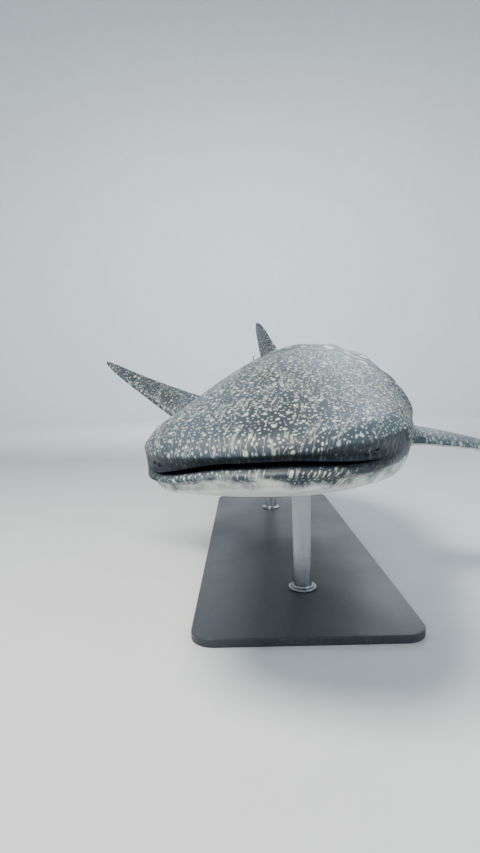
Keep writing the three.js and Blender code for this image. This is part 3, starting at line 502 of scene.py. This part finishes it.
def skin_spot(bearing, row):
    """A place on the head's skin with its outward, aft and downward directions, in millimetres."""
    def at(b, r):
        return place(dome_skin(np.array([b]), np.array([r])))[0]
    point = at(bearing, row)
    along = unit(at(bearing + 0.01, row) - at(bearing - 0.01, row)) * (1 if bearing > 0 else -1)
    down = unit(at(bearing, row + 0.5) - at(bearing, row - 0.5))
    out = unit(np.cross(along, down))
    out = out if np.dot(out, point - place(np.array([[DOME, 0.0, 0.0]]))[0]) > 0 else -out
    return point, out, along, unit(np.cross(out, along))


def refine(spots, reach):
    """Cuts the faces within reach of the spots in four."""
    centres = np.empty(len(mesh.polygons) * 3)
    mesh.polygons.foreach_get("center", centres)
    centres = centres.reshape(-1, 3) * 1000
    near = np.zeros(len(centres), bool)
    for point, *_ in spots:
        near |= np.linalg.norm(centres - point, axis=1) < reach
    bpy.context.tool_settings.mesh_select_mode = (False, False, True)
    bpy.ops.object.mode_set(mode="EDIT")
    bpy.ops.mesh.select_all(action="DESELECT")
    bpy.ops.object.mode_set(mode="OBJECT")
    mesh.polygons.foreach_set("select", near)
    bpy.ops.object.mode_set(mode="EDIT")
    bpy.ops.mesh.subdivide(number_cuts=1)
    bpy.ops.object.mode_set(mode="OBJECT")


eye_spots, spiracle_spots, nostril_spots, barbel_spots = (
    [skin_spot(side * bearing, row) for side in (1, -1)]
    for bearing, row in ((EYE_BEARING, EYE_ROW), (SPIRACLE_BEARING, SPIRACLE_ROW),
                         (NOSTRIL_BEARING, NOSTRIL_ROW), (BARBEL_BEARING, BARBEL_ROW)))
for spots, reaches in ((eye_spots, (62, 46)), (spiracle_spots + nostril_spots + barbel_spots, (38, 26))):
    for reach in reaches:
        refine(spots, reach)

points_now = np.empty(len(mesh.vertices) * 3)
mesh.vertices.foreach_get("co", points_now)
points_now = points_now.reshape(-1, 3) * 1000
hollow_shade_now = np.empty(len(mesh.vertices))
mesh.attributes["inside"].data.foreach_get("value", hollow_shade_now)


def round_spot(spot, stretch):
    """Each point's distance from the spot over the skin, and which points lie near it."""
    point, out, along, down = spot
    off = points_now - point
    distance = np.hypot(off @ along / stretch[0], off @ down / stretch[1])
    return distance, (distance < 70) & (np.abs(off @ out) < 60)


def sink_hollow(spot, rim, pit, dark, stretch):
    """Raises a rim round the spot, sinks a pit inside it and paints shade into the pit."""
    distance, near = round_spot(spot, stretch)
    d = distance[near]
    move = rim[0] * hump(d - rim[1], rim[2]) - pit[0] * (1 - smooth(pit[1], pit[2], d))
    points_now[near] += spot[1] * move[:, None]
    hollow_shade_now[near] = np.maximum(hollow_shade_now[near], 1 - smooth(*dark, d))


for spots, hollow in ((eye_spots, EYE_SOCKET), (spiracle_spots, SPIRACLE), (nostril_spots, NOSTRIL)):
    for spot in spots:
        sink_hollow(spot, **hollow)
for spot in barbel_spots:
    distance, near = round_spot(spot, (0.8, 1.3))
    points_now[near] += spot[1] * (BARBEL_LENGTH * hump(distance[near], 7))[:, None]
mesh.vertices.foreach_set("co", (points_now / 1000).ravel())
mesh.attributes["inside"].data.foreach_set("value", hollow_shade_now)
mesh.update()
bpy.ops.object.shade_smooth()


def hex_colour(text):
    """An sRGB colour such as "8a9ba8" as linear RGBA."""
    parts = [int(text[i:i + 2], 16) / 255 for i in (0, 2, 4)]
    return tuple(c / 12.92 if c <= 0.04045 else ((c + 0.055) / 1.055) ** 2.4 for c in parts) + (1,)


def new_material(name):
    material = bpy.data.materials.new(name)
    material.use_nodes = True
    return material, material.node_tree, material.node_tree.nodes["Principled BSDF"]


SMOOTHLY = {"interpolation_type": "SMOOTHSTEP"}
COLOURS = {"output": 2, "data_type": "RGBA"}


def add(tree, kind, inputs, output=0, **settings):
    """Adds a node with its settings, and values or other nodes' outputs on its sockets; returns an output."""
    node = tree.nodes.new("ShaderNode" + kind)
    for name, setting in settings.items():
        setattr(node, name, setting)
    for socket, value in inputs.items() if isinstance(inputs, dict) else enumerate(inputs):
        if isinstance(value, bpy.types.NodeSocket):
            tree.links.new(value, node.inputs[socket])
        else:
            node.inputs[socket].default_value = value
    return node.outputs[output]


def spots_on(tree, chart, cell, randomness, small, spread, soft, strength=1.0):
    """Round spots, one in each cell of the chart; cell is its size in metres along and around."""
    scaled = add(tree, "VectorMath", [chart, (1 / cell[0], 1 / cell[1], 1.0)], operation="MULTIPLY")
    distance = add(tree, "TexVoronoi", {"Vector": scaled, "Scale": 1.0, "Randomness": randomness}, "Distance",
                   feature="F1", voronoi_dimensions="2D")
    chance = add(tree, "SeparateXYZ", [distance.node.outputs["Color"]])
    radius = add(tree, "Math", [chance, spread, small], operation="MULTIPLY_ADD")
    beyond = add(tree, "Math", [distance, radius], operation="SUBTRACT")
    return add(tree, "MapRange", [beyond, soft, -soft, 0.0, strength], **SMOOTHLY)


def off_stripe(tree, value, spacing, centre):
    """How far value is from the middle of its stripe, as a share of the spacing."""
    share = add(tree, "Math", [value, spacing], operation="DIVIDE")
    share = add(tree, "Math", [share], operation="FRACT")
    share = add(tree, "Math", [share, centre], operation="SUBTRACT")
    return add(tree, "Math", [share], operation="ABSOLUTE")


def keep_where(tree, marks, *ranges):
    """Fades the marks out except where each value has passed from low to high: (value, low, high)."""
    for value, low, high in ranges:
        within = add(tree, "MapRange", [value, low, high], **SMOOTHLY)
        marks = add(tree, "Math", [marks, within], operation="MULTIPLY")
    return marks


# Cells of the spot pattern on the chart, and the spacing of the pores under the lip, in metres.
TINY_CELL, SMALL_CELL, MID_CELL, LARGE_CELL = (0.027, 0.022), (0.062, 0.05), (0.07, 0.06), (0.168, 0.112)
PORE_SPACING = 0.021
MARK_STRENGTH, FIN_MARK_LOSS = 0.84, 0.35
SLATE, SLATE_LIGHT, SLATE_HIGHLIGHT, CREAM = "26323a", "3c4c57", "56666f", "c9ccbd"
BELLY_GREY, BELLY_WHITE, LIP_PAINTED_SHADE, PORE_DARK, HOLLOW_PAINTED_SHADE = "b9c0bb", "dcded6", "172028", "0d1216", "17181a"


def skin_material():
    # Whale-shark hide, matt and finely grained with denticles. It gives a slate back with cream spots, small
    # and close on head and fins, larger and in rows between thin broken bars on the trunk; fine pale lines,
    # partly a faint painted trace of rippled light; a painted highlight in paler patches; an off-white belly;
    # and painted shade under the upper lip and in the mouth, gill slits and pits. Real denticles are under 1
    # mm, so the grain is drawn at about 4 mm to show.
    material, tree, shader = new_material("Whale_shark_skin")
    rest = add(tree, "Attribute", {}, "Vector", attribute_name="rest")
    chart = add(tree, "Attribute", {}, "Vector", attribute_name="chart")
    row = add(tree, "Attribute", {}, "Fac", attribute_name="row")
    inside = add(tree, "Attribute", {}, "Fac", attribute_name="inside")
    along = add(tree, "SeparateXYZ", [rest], "X")
    sideways = add(tree, "SeparateXYZ", [rest], "Y")
    fin = add(tree, "SeparateXYZ", [chart], "Z")
    broad = add(tree, "TexNoise", {"Vector": rest, "Scale": 2.2, "Detail": 4.0})
    fine = add(tree, "TexNoise", {"Vector": rest, "Scale": 14.0, "Detail": 5.0})
    # The chart is shifted by up to 35 mm, so that rows and bars waver
    wander = add(tree, "TexNoise", {"Vector": rest, "Scale": 5.0, "Detail": 3.0}, 1)
    waver = add(tree, "VectorMath", [wander, (0.07, 0.07, 0.0), chart], operation="MULTIPLY_ADD")
    # Head and fins: small close spots of two sizes, and fine pale lines that run back over the head,
    # partly the shark's own lines and partly a faint painted trace of the water's rippled light
    tiny = spots_on(tree, waver, TINY_CELL, 0.8, 0.09, 0.17, 0.07, strength=0.8)
    small = spots_on(tree, waver, SMALL_CELL, 0.8, 0.02, 0.17, 0.05)
    drawn = add(tree, "VectorMath", [waver, (5.0, 26.0, 1.0)], operation="MULTIPLY")
    pale_lines_and_caustics = add(tree, "TexNoise", {"Vector": drawn, "Scale": 1.0, "Detail": 2.0})
    pale_lines_and_caustics = add(tree, "Math", [pale_lines_and_caustics, 0.5], operation="SUBTRACT")
    pale_lines_and_caustics = add(tree, "Math", [pale_lines_and_caustics], operation="ABSOLUTE")
    pale_lines_and_caustics = add(tree, "MapRange", [pale_lines_and_caustics, 0.026, 0.006, 0.0, 0.5], **SMOOTHLY)
    pale_lines_and_caustics = keep_where(tree, pale_lines_and_caustics, (fine, 0.4, 0.52))
    head_marks = add(tree, "Math", [tiny, small], operation="MAXIMUM")
    head_marks = add(tree, "Math", [head_marks, pale_lines_and_caustics], operation="MAXIMUM")
    # Trunk: rows of larger spots, with thin pale bars between their columns
    large = spots_on(tree, waver, LARGE_CELL, 0.42, 0.13, 0.15, 0.035)
    mid = spots_on(tree, waver, MID_CELL, 0.8, 0.02, 0.2, 0.06, strength=0.5)
    column = off_stripe(tree, add(tree, "SeparateXYZ", [waver], "X"), LARGE_CELL[0], 0.72)
    bars = add(tree, "MapRange", [column, 0.05, 0.02], **SMOOTHLY)
    bars = keep_where(tree, bars, (broad, 0.44, 0.52), (fine, 0.36, 0.5))
    trunk_marks = add(tree, "Math", [large, bars], operation="MAXIMUM")
    trunk_marks = add(tree, "Math", [trunk_marks, mid], operation="MAXIMUM")
    border = add(tree, "Math", [fine, 0.5, along], operation="MULTIPLY_ADD")
    to_trunk = add(tree, "MapRange", [border, 1.32, 1.43], **SMOOTHLY)
    to_trunk = keep_where(tree, to_trunk, (fin, 1.0, 0.0))
    marks = add(tree, "Mix", {0: to_trunk, 2: head_marks, 3: trunk_marks})
    fade = add(tree, "Math", [fin, -MARK_STRENGTH * FIN_MARK_LOSS, MARK_STRENGTH], operation="MULTIPLY_ADD")
    marks = add(tree, "Math", [marks, fade], operation="MULTIPLY")
    # Back, in patches of two slates, with a painted highlight of paler slate in random patches
    patch = add(tree, "MapRange", [broad, 0.35, 0.68], **SMOOTHLY)
    back = add(tree, "Mix", {0: patch, 6: hex_colour(SLATE), 7: hex_colour(SLATE_LIGHT)}, **COLOURS)
    # painted highlight: paler slate mixed in, up to 40 %, where the fine noise is high
    highlight_patches = add(tree, "MapRange", [fine, 0.5, 0.75, 0.0, 0.4], **SMOOTHLY)
    back = add(tree, "Mix", {0: highlight_patches, 6: back, 7: hex_colour(SLATE_HIGHLIGHT)}, **COLOURS)
    marked = add(tree, "Mix", {0: marks, 6: back, 7: hex_colour(CREAM)}, **COLOURS)
    # Belly, with a ragged border, which starts higher under the jaw than on the trunk
    edge = add(tree, "Math", [fine, 0.15, row], operation="MULTIPLY_ADD")
    edge = add(tree, "Math", [broad, 0.1, edge], operation="MULTIPLY_ADD")
    raised = add(tree, "MapRange", [along, 1.1, 0.3, 0.0, 0.086], **SMOOTHLY)
    edge = add(tree, "Math", [edge, raised], operation="ADD")
    cloud = add(tree, "MapRange", [fine, 0.3, 0.8], **SMOOTHLY)
    belly = add(tree, "Mix", {0: cloud, 6: hex_colour(BELLY_GREY), 7: hex_colour(BELLY_WHITE)}, **COLOURS)
    below = add(tree, "MapRange", [edge, 0.755, 0.825], **SMOOTHLY)
    colour = add(tree, "Mix", {0: below, 6: marked, 7: belly}, **COLOURS)
    # Painted shade under the upper lip's turned-under edge, in a band that widens at the mouth's corners
    to_left = add(tree, "MapRange", [sideways, 0.2, 0.34, 0.0, 0.03], **SMOOTHLY)
    lip_row = add(tree, "Math", [row, to_left], operation="ADD")
    corners = [add(tree, "MapRange", [sideways, low, high, 0.0, 0.07], **SMOOTHLY)
               for low, high in ((0.28, 0.4), (-0.34, -0.44))]
    ragged = add(tree, "Math", [add(tree, "Math", corners, operation="ADD"), fine], operation="MULTIPLY")
    low_row = add(tree, "Math", [row, ragged], operation="SUBTRACT")
    # the painted shade under the lip fades out towards the back of the head
    under = add(tree, "MapRange", [along, 0.52, 0.34, 0.0, 0.84], **SMOOTHLY)
    under = keep_where(tree, under, (lip_row, 0.482, 0.5), (low_row, 0.527, 0.5205))
    colour = add(tree, "Mix", {0: under, 6: colour, 7: hex_colour(LIP_PAINTED_SHADE)}, **COLOURS)
    # A row of dark pores along that edge
    pore = off_stripe(tree, add(tree, "SeparateXYZ", [waver], "Y"), PORE_SPACING, 0.5)
    pore = add(tree, "MapRange", [pore, 0.2, 0.1, 0.0, 0.8], **SMOOTHLY)
    pore = keep_where(tree, pore, (row, 0.5055, 0.5075), (row, 0.5125, 0.5105), (along, 0.35, 0.2))
    colour = add(tree, "Mix", {0: pore, 6: colour, 7: hex_colour(PORE_DARK)}, **COLOURS)
    # Painted shade in the mouth, the gill slits and the pits of the eyes, spiracles and nostrils
    colour = add(tree, "Mix", {0: inside, 6: colour, 7: hex_colour(HOLLOW_PAINTED_SHADE)}, **COLOURS)
    tree.links.new(colour, shader.inputs["Base Color"])
    roughness = add(tree, "MapRange", [fine, 0.3, 0.8, 0.46, 0.64], **SMOOTHLY)
    tree.links.new(roughness, shader.inputs["Roughness"])
    shader.inputs["Specular IOR Level"].default_value = 0.32
    shader.inputs["Coat Weight"].default_value = 0.03
    shader.inputs["Coat Roughness"].default_value = 0.35
    grain = add(tree, "TexNoise", {"Vector": rest, "Scale": 260.0, "Detail": 3.0})
    wrinkle = add(tree, "TexNoise", {"Vector": rest, "Scale": 38.0, "Detail": 4.0})
    relief = add(tree, "Mix", {0: 0.65, 2: grain, 3: wrinkle})
    bump = add(tree, "Bump", {"Strength": 0.4, "Distance": 0.004, "Height": relief})
    tree.links.new(bump, shader.inputs["Normal"])
    return material


mesh.materials.append(skin_material())
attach(skin, "root")
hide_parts("head", "lower_jaw", "shoulder", "trunk", "flank", "tail", "first_dorsal_fin",
            "second_dorsal_fin", "anal_fin", "pectoral_fin_left", "pectoral_fin_right", "pelvic_fin_left",
            "pelvic_fin_right", "caudal_fin_upper", "caudal_fin_lower")

# The eyes. A whale shark's eye is a small wet ball, low on the side of its head, with no moving lid. Each
# is a glossy sphere in its socket, with its pole turned outwards so that pupil and iris lie round it.
EYE_RADIUS, EYE_RISE = 30.0, 10.0
PUPIL_BLACK, IRIS_DARK, IRIS_BRONZE, IRIS_RING = "050607", "12100d", "39342b", "4d483c"
EYE_RIM = [(35.0, 39.0, "15181a"), (42.0, 48.0, "3d4446")]  # from and to degrees off the axis, and colour


def eye_material():
    # Wet eyeball: it gives a black pupil, a dark bronze iris with fine radial fibres, and a sharp highlight
    material, tree, shader = new_material("Whale_shark_eye")
    where = add(tree, "UVMap", {}, uv_map="UVMap")
    around = add(tree, "Math", [add(tree, "SeparateXYZ", [where], "X"), 90.0], operation="MULTIPLY")
    off_axis = add(tree, "SeparateXYZ", [where], "Y")
    off_axis = add(tree, "Math", [off_axis, -180.0, 180.0], operation="MULTIPLY_ADD")
    outwards = add(tree, "Math", [off_axis, 0.06], operation="MULTIPLY")
    fibres = add(tree, "CombineXYZ", [around, outwards])
    fibre = add(tree, "TexNoise", {"Vector": fibres, "Scale": 1.0, "Detail": 3.0})
    bronze = add(tree, "MapRange", [fibre, 0.35, 0.68], **SMOOTHLY)
    colour = add(tree, "Mix", {0: bronze, 6: hex_colour(IRIS_DARK), 7: hex_colour(IRIS_BRONZE)}, **COLOURS)
    for low, high, hue in ((22.0, 28.0, IRIS_RING), (19.0, 21.5, PUPIL_BLACK)):
        outside = add(tree, "MapRange", [off_axis, low, high], **SMOOTHLY)
        colour = add(tree, "Mix", {0: outside, 6: hex_colour(hue), 7: colour}, **COLOURS)
    for low, high, hue in EYE_RIM:
        outside = add(tree, "MapRange", [off_axis, low, high], **SMOOTHLY)
        colour = add(tree, "Mix", {0: outside, 6: colour, 7: hex_colour(hue)}, **COLOURS)
    tree.links.new(colour, shader.inputs["Base Color"])
    roughness = add(tree, "MapRange", [fibre, 0.2, 0.8, 0.06, 0.14], **SMOOTHLY)
    tree.links.new(roughness, shader.inputs["Roughness"])
    shader.inputs["Coat Weight"].default_value = 1.0
    shader.inputs["Coat Roughness"].default_value = 0.03
    shader.inputs["IOR"].default_value = 1.38
    bump = add(tree, "Bump", {"Strength": 0.15, "Distance": 0.0006, "Height": fibre})
    tree.links.new(bump, shader.inputs["Normal"])
    return material


eye_look = eye_material()
for name, node, (point, out, along, down) in (("Eye_left", "eye_left", eye_spots[0]),
                                              ("Eye_right", "eye_right", eye_spots[1])):
    bpy.ops.object.select_all(action="DESELECT")
    bpy.ops.mesh.primitive_uv_sphere_add(segments=64, ring_count=48, radius=EYE_RADIUS / 1000)
    eye = bpy.context.active_object
    eye.name = name
    centre = point - out * (EYE_RADIUS - EYE_RISE)
    outwards = Vector(out).to_track_quat("Z", "Y").to_matrix().to_4x4()
    eye.matrix_world = Matrix.Translation(Vector(centre / 1000)) @ outwards
    bpy.ops.object.transform_apply(location=True, rotation=True, scale=True)
    bpy.ops.object.shade_smooth()
    eye.data.materials.append(eye_look)
    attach(eye, "root")
    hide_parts(node)

# The display stand. A flat steel base, painted in satin charcoal, with round corners and softened edges,
# and two rods of brushed stainless steel. Each rod is turned with a round foot, stands on the base and runs
# up into the belly.
BASE_LENGTH, BASE_WIDTH, BASE_THICKNESS, BASE_CORNER, BASE_BEVEL = 3.3, 1.18, 0.044, 0.12, 0.006
ROD_RADIUS, FOOT_RADIUS, FOOT_HEIGHT, FOOT_COVE = 0.055, 0.083, 0.014, 0.01
FOOT_EDGE, FOOT_BEVEL, FOOT_GAP = 0.003, 0.002, 0.0003
ROD_STATIONS = {"front": 0.2, "rear": 0.53}


def base_material():
    # Satin charcoal paint, rolled on: it gives a faint orange-peel texture, with a little dust on it
    material, tree, shader = new_material("Painted_base")
    where = add(tree, "TexCoord", {}, "Object")
    broad = add(tree, "TexNoise", {"Vector": where, "Scale": 1.6, "Detail": 4.0})
    roller = add(tree, "TexNoise", {"Vector": where, "Scale": 420.0, "Detail": 2.0})
    dust = add(tree, "TexNoise", {"Vector": where, "Scale": 70.0, "Detail": 5.0})
    colour = add(tree, "Mix", {0: broad, 6: hex_colour("2b2f33"), 7: hex_colour("34393e")}, **COLOURS)
    dusty = add(tree, "MapRange", [dust, 0.58, 0.75, 0.0, 0.25], **SMOOTHLY)
    colour = add(tree, "Mix", {0: dusty, 6: colour, 7: hex_colour("7e8285")}, **COLOURS)
    tree.links.new(colour, shader.inputs["Base Color"])
    roughness = add(tree, "MapRange", [broad, 0.3, 0.7, 0.38, 0.5], **SMOOTHLY)
    tree.links.new(roughness, shader.inputs["Roughness"])
    bump = add(tree, "Bump", {"Strength": 0.2, "Distance": 0.0006, "Height": roller})
    tree.links.new(bump, shader.inputs["Normal"])
    return material


def rod_material():
    # Brushed stainless steel, brushed round the rod: it gives fine level lines and a broken sheen
    material, tree, shader = new_material("Brushed_steel")
    where = add(tree, "TexCoord", {}, "Object")
    drawn = add(tree, "VectorMath", [where, (3.0, 3.0, 900.0)], operation="MULTIPLY")
    lines = add(tree, "TexNoise", {"Vector": drawn, "Scale": 1.0, "Detail": 3.0})
    smears = add(tree, "TexNoise", {"Vector": where, "Scale": 9.0, "Detail": 4.0})
    colour = add(tree, "Mix", {0: lines, 6: hex_colour("8b9094"), 7: hex_colour("a9adb0")}, **COLOURS)
    tree.links.new(colour, shader.inputs["Base Color"])
    shader.inputs["Metallic"].default_value = 1.0
    roughness = add(tree, "Math", [lines, smears], operation="ADD")
    roughness = add(tree, "Math", [roughness, 0.32], operation="MULTIPLY")
    tree.links.new(roughness, shader.inputs["Roughness"])
    bump = add(tree, "Bump", {"Strength": 0.12, "Distance": 0.0004, "Height": lines})
    tree.links.new(bump, shader.inputs["Normal"])
    return material


bpy.ops.object.select_all(action="DESELECT")
bpy.ops.mesh.primitive_cube_add(size=1, location=(0, 0, BASE_THICKNESS / 2))
base = bpy.context.active_object
base.name = "Stand_base"
base.scale = (BASE_WIDTH, BASE_LENGTH, BASE_THICKNESS)
bpy.ops.object.transform_apply(location=True, rotation=True, scale=True)
base.data.polygons.foreach_set("select", [False] * len(base.data.polygons))
for edge in base.data.edges:
    a, b = (base.data.vertices[k].co for k in edge.vertices)
    edge.select = abs(a.z - b.z) > BASE_THICKNESS / 2
bpy.context.tool_settings.mesh_select_mode = (False, True, False)
bpy.ops.object.mode_set(mode="EDIT")
bpy.ops.mesh.bevel(offset=BASE_CORNER, segments=12, affect="EDGES")
bpy.ops.object.mode_set(mode="OBJECT")
rounding = base.modifiers.new("Edge", "BEVEL")
rounding.width, rounding.segments = BASE_BEVEL, 3
rounding.limit_method, rounding.angle_limit = "ANGLE", math.radians(40)
bpy.ops.object.modifier_apply(modifier="Edge")
base.data.materials.append(base_material())
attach(base, "root")
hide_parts("stand_base")

steel = rod_material()
for name, share in ROD_STATIONS.items():
    top = frame_at(np.array([station(share)]))["at"][0] / 1000
    low = BASE_THICKNESS + FOOT_GAP
    high = low + FOOT_HEIGHT
    profile = [(0, low), (FOOT_RADIUS - FOOT_BEVEL, low), (FOOT_RADIUS, low + FOOT_BEVEL),
               (FOOT_RADIUS, high - FOOT_EDGE), (FOOT_RADIUS - FOOT_EDGE, high)]
    profile += [(ROD_RADIUS + FOOT_COVE * (1 - math.sin(a)), high + FOOT_COVE * (1 - math.cos(a)))
                for a in np.linspace(0, math.pi / 2, 7)]
    profile += [(ROD_RADIUS, top[2]), (0, top[2])]
    rod_mesh = bpy.data.meshes.new("Stand_rod_" + name)
    rod_mesh.from_pydata([(r, 0, z) for r, z in profile], [(i, i + 1) for i in range(len(profile) - 1)], [])
    rod = bpy.data.objects.new("Stand_rod_" + name, rod_mesh)
    bpy.context.collection.objects.link(rod)
    bpy.ops.object.select_all(action="DESELECT")
    bpy.context.view_layer.objects.active = rod
    rod.select_set(True)
    turned = rod.modifiers.new("Turned", "SCREW")
    turned.steps = turned.render_steps = 72
    turned.use_merge_vertices = True
    turned.use_smooth_shade = True
    bpy.ops.object.modifier_apply(modifier="Turned")
    rod.location = (top[0], top[1], 0)
    bpy.ops.object.transform_apply(location=True, rotation=True, scale=True)
    bpy.ops.object.mode_set(mode="EDIT")
    bpy.ops.mesh.select_all(action="SELECT")
    bpy.ops.mesh.normals_make_consistent(inside=False)
    bpy.ops.object.mode_set(mode="OBJECT")
    hard = rod.modifiers.new("Edges", "EDGE_SPLIT")
    hard.split_angle = math.radians(50)
    bpy.ops.object.modifier_apply(modifier="Edges")
    rod_mesh.materials.append(steel)
    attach(rod, "root")
    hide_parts("stand_rod_" + name)


# The studio. A pale matt floor curves up into a round wall, so that no edge shows behind the model. Three
# soft lamps stand round the shark and four light the wall.
def floor_material():
    # Matt emulsion on a smooth floor: it gives an even pale grey with very faint clouding
    material, tree, shader = new_material("Studio_floor")
    where = add(tree, "TexCoord", {}, "Object")
    cloud = add(tree, "TexNoise", {"Vector": where, "Scale": 3.0, "Detail": 3.0})
    colour = add(tree, "Mix", {0: cloud, 6: hex_colour("d2d6d9"), 7: hex_colour("dcdfe1")}, **COLOURS)
    tree.links.new(colour, shader.inputs["Base Color"])
    shader.inputs["Roughness"].default_value = 0.8
    return material


FLOOR_RADIUS, COVE_RADIUS, WALL_TOP, SIDES = 18.0, 5.0, 26.0, 96
outline = [(FLOOR_RADIUS * k / 4, 0.0) for k in range(1, 5)]  # radius and height
outline += [(FLOOR_RADIUS + COVE_RADIUS * math.sin(a), COVE_RADIUS * (1 - math.cos(a)))
            for a in np.linspace(0, math.pi / 2, 17)[1:]]
outline += [(FLOOR_RADIUS + COVE_RADIUS, WALL_TOP)]
points = [(r * math.cos(a), r * math.sin(a), z) for r, z in outline
          for a in np.linspace(0, 2 * math.pi, SIDES, endpoint=False)]
rings = [[i * SIDES + k % SIDES for k in range(SIDES + 1)] for i in range(len(outline))]
quads = [(low[k], low[k + 1], high[k + 1], high[k])
         for low, high in zip(rings, rings[1:]) for k in range(SIDES)]
quads.append(tuple(reversed(range(SIDES))))
floor_mesh = bpy.data.meshes.new("Floor")
floor_mesh.from_pydata(points, [], quads)
floor_mesh.materials.append(floor_material())
for polygon in floor_mesh.polygons:
    polygon.use_smooth = True
floor = bpy.data.objects.new("Floor", floor_mesh)
bpy.context.collection.objects.link(floor)

world = bpy.data.worlds.new("Studio")
world.use_nodes = True
world.node_tree.nodes["Background"].inputs[0].default_value = hex_colour("dfe8ee")
world.node_tree.nodes["Background"].inputs[1].default_value = 0.36
bpy.context.scene.world = world


def area_light(name, place_at, target, size, power, colour):
    light = bpy.data.lights.new(name, "AREA")
    light.shape = "DISK"
    light.size = size
    light.energy = power
    light.color = hex_colour(colour)[:3]
    lamp = bpy.data.objects.new(name, light)
    bpy.context.collection.objects.link(lamp)
    lamp.location = place_at
    lamp.rotation_euler = (Vector(target) - Vector(place_at)).to_track_quat("-Z", "Y").to_euler()


area_light("Key", (-2.2, -3.2, 6.8), (0, -1.0, 1.0), 2.6, 780, "fff8ee")
area_light("Fill", (5.5, -4.5, 3.5), (0, -0.5, 1.0), 4.5, 150, "e4f0ff")
area_light("Rim", (3.0, 6.0, 6.0), (0, 0.5, 1.2), 4.0, 220, "f0f6ff")
for name, x, y, power in (("Backdrop_back", 0, 1, 2600), ("Backdrop_front", 0, -1, 1500),
                          ("Backdrop_left", 1, 0, 1500), ("Backdrop_right", -1, 0, 1500)):
    area_light(name, (9.0 * x, 9.0 * y, 10.0), (22.0 * x, 22.0 * y, 5.0), 8.0, power, "eef3f7")

# The camera stands ahead of the shark, a little above its snout, with a wide lens and hardly any tilt.
CAMERA_PLACE = Vector((-0.300, -3.981, 1.245))
CAMERA_AZIMUTH, CAMERA_RISE, CAMERA_ROLL = -0.37, -4.24, -1.47
FOCAL_PIXELS, PICTURE_HEIGHT = 500.0, 853

camera_data = bpy.data.cameras.new("Camera")
camera_data.sensor_width = 36.0
camera_data.lens = 36.0 * FOCAL_PIXELS / PICTURE_HEIGHT
camera_data.clip_end = 200
camera = bpy.data.objects.new("Camera", camera_data)
bpy.context.collection.objects.link(camera)
turn = (Matrix.Rotation(math.radians(-CAMERA_AZIMUTH), 4, "Z")
        @ Matrix.Rotation(math.radians(90 + CAMERA_RISE), 4, "X")
        @ Matrix.Rotation(math.radians(CAMERA_ROLL), 4, "Z"))
camera.matrix_world = Matrix.Translation(CAMERA_PLACE) @ turn
bpy.context.scene.camera = camera
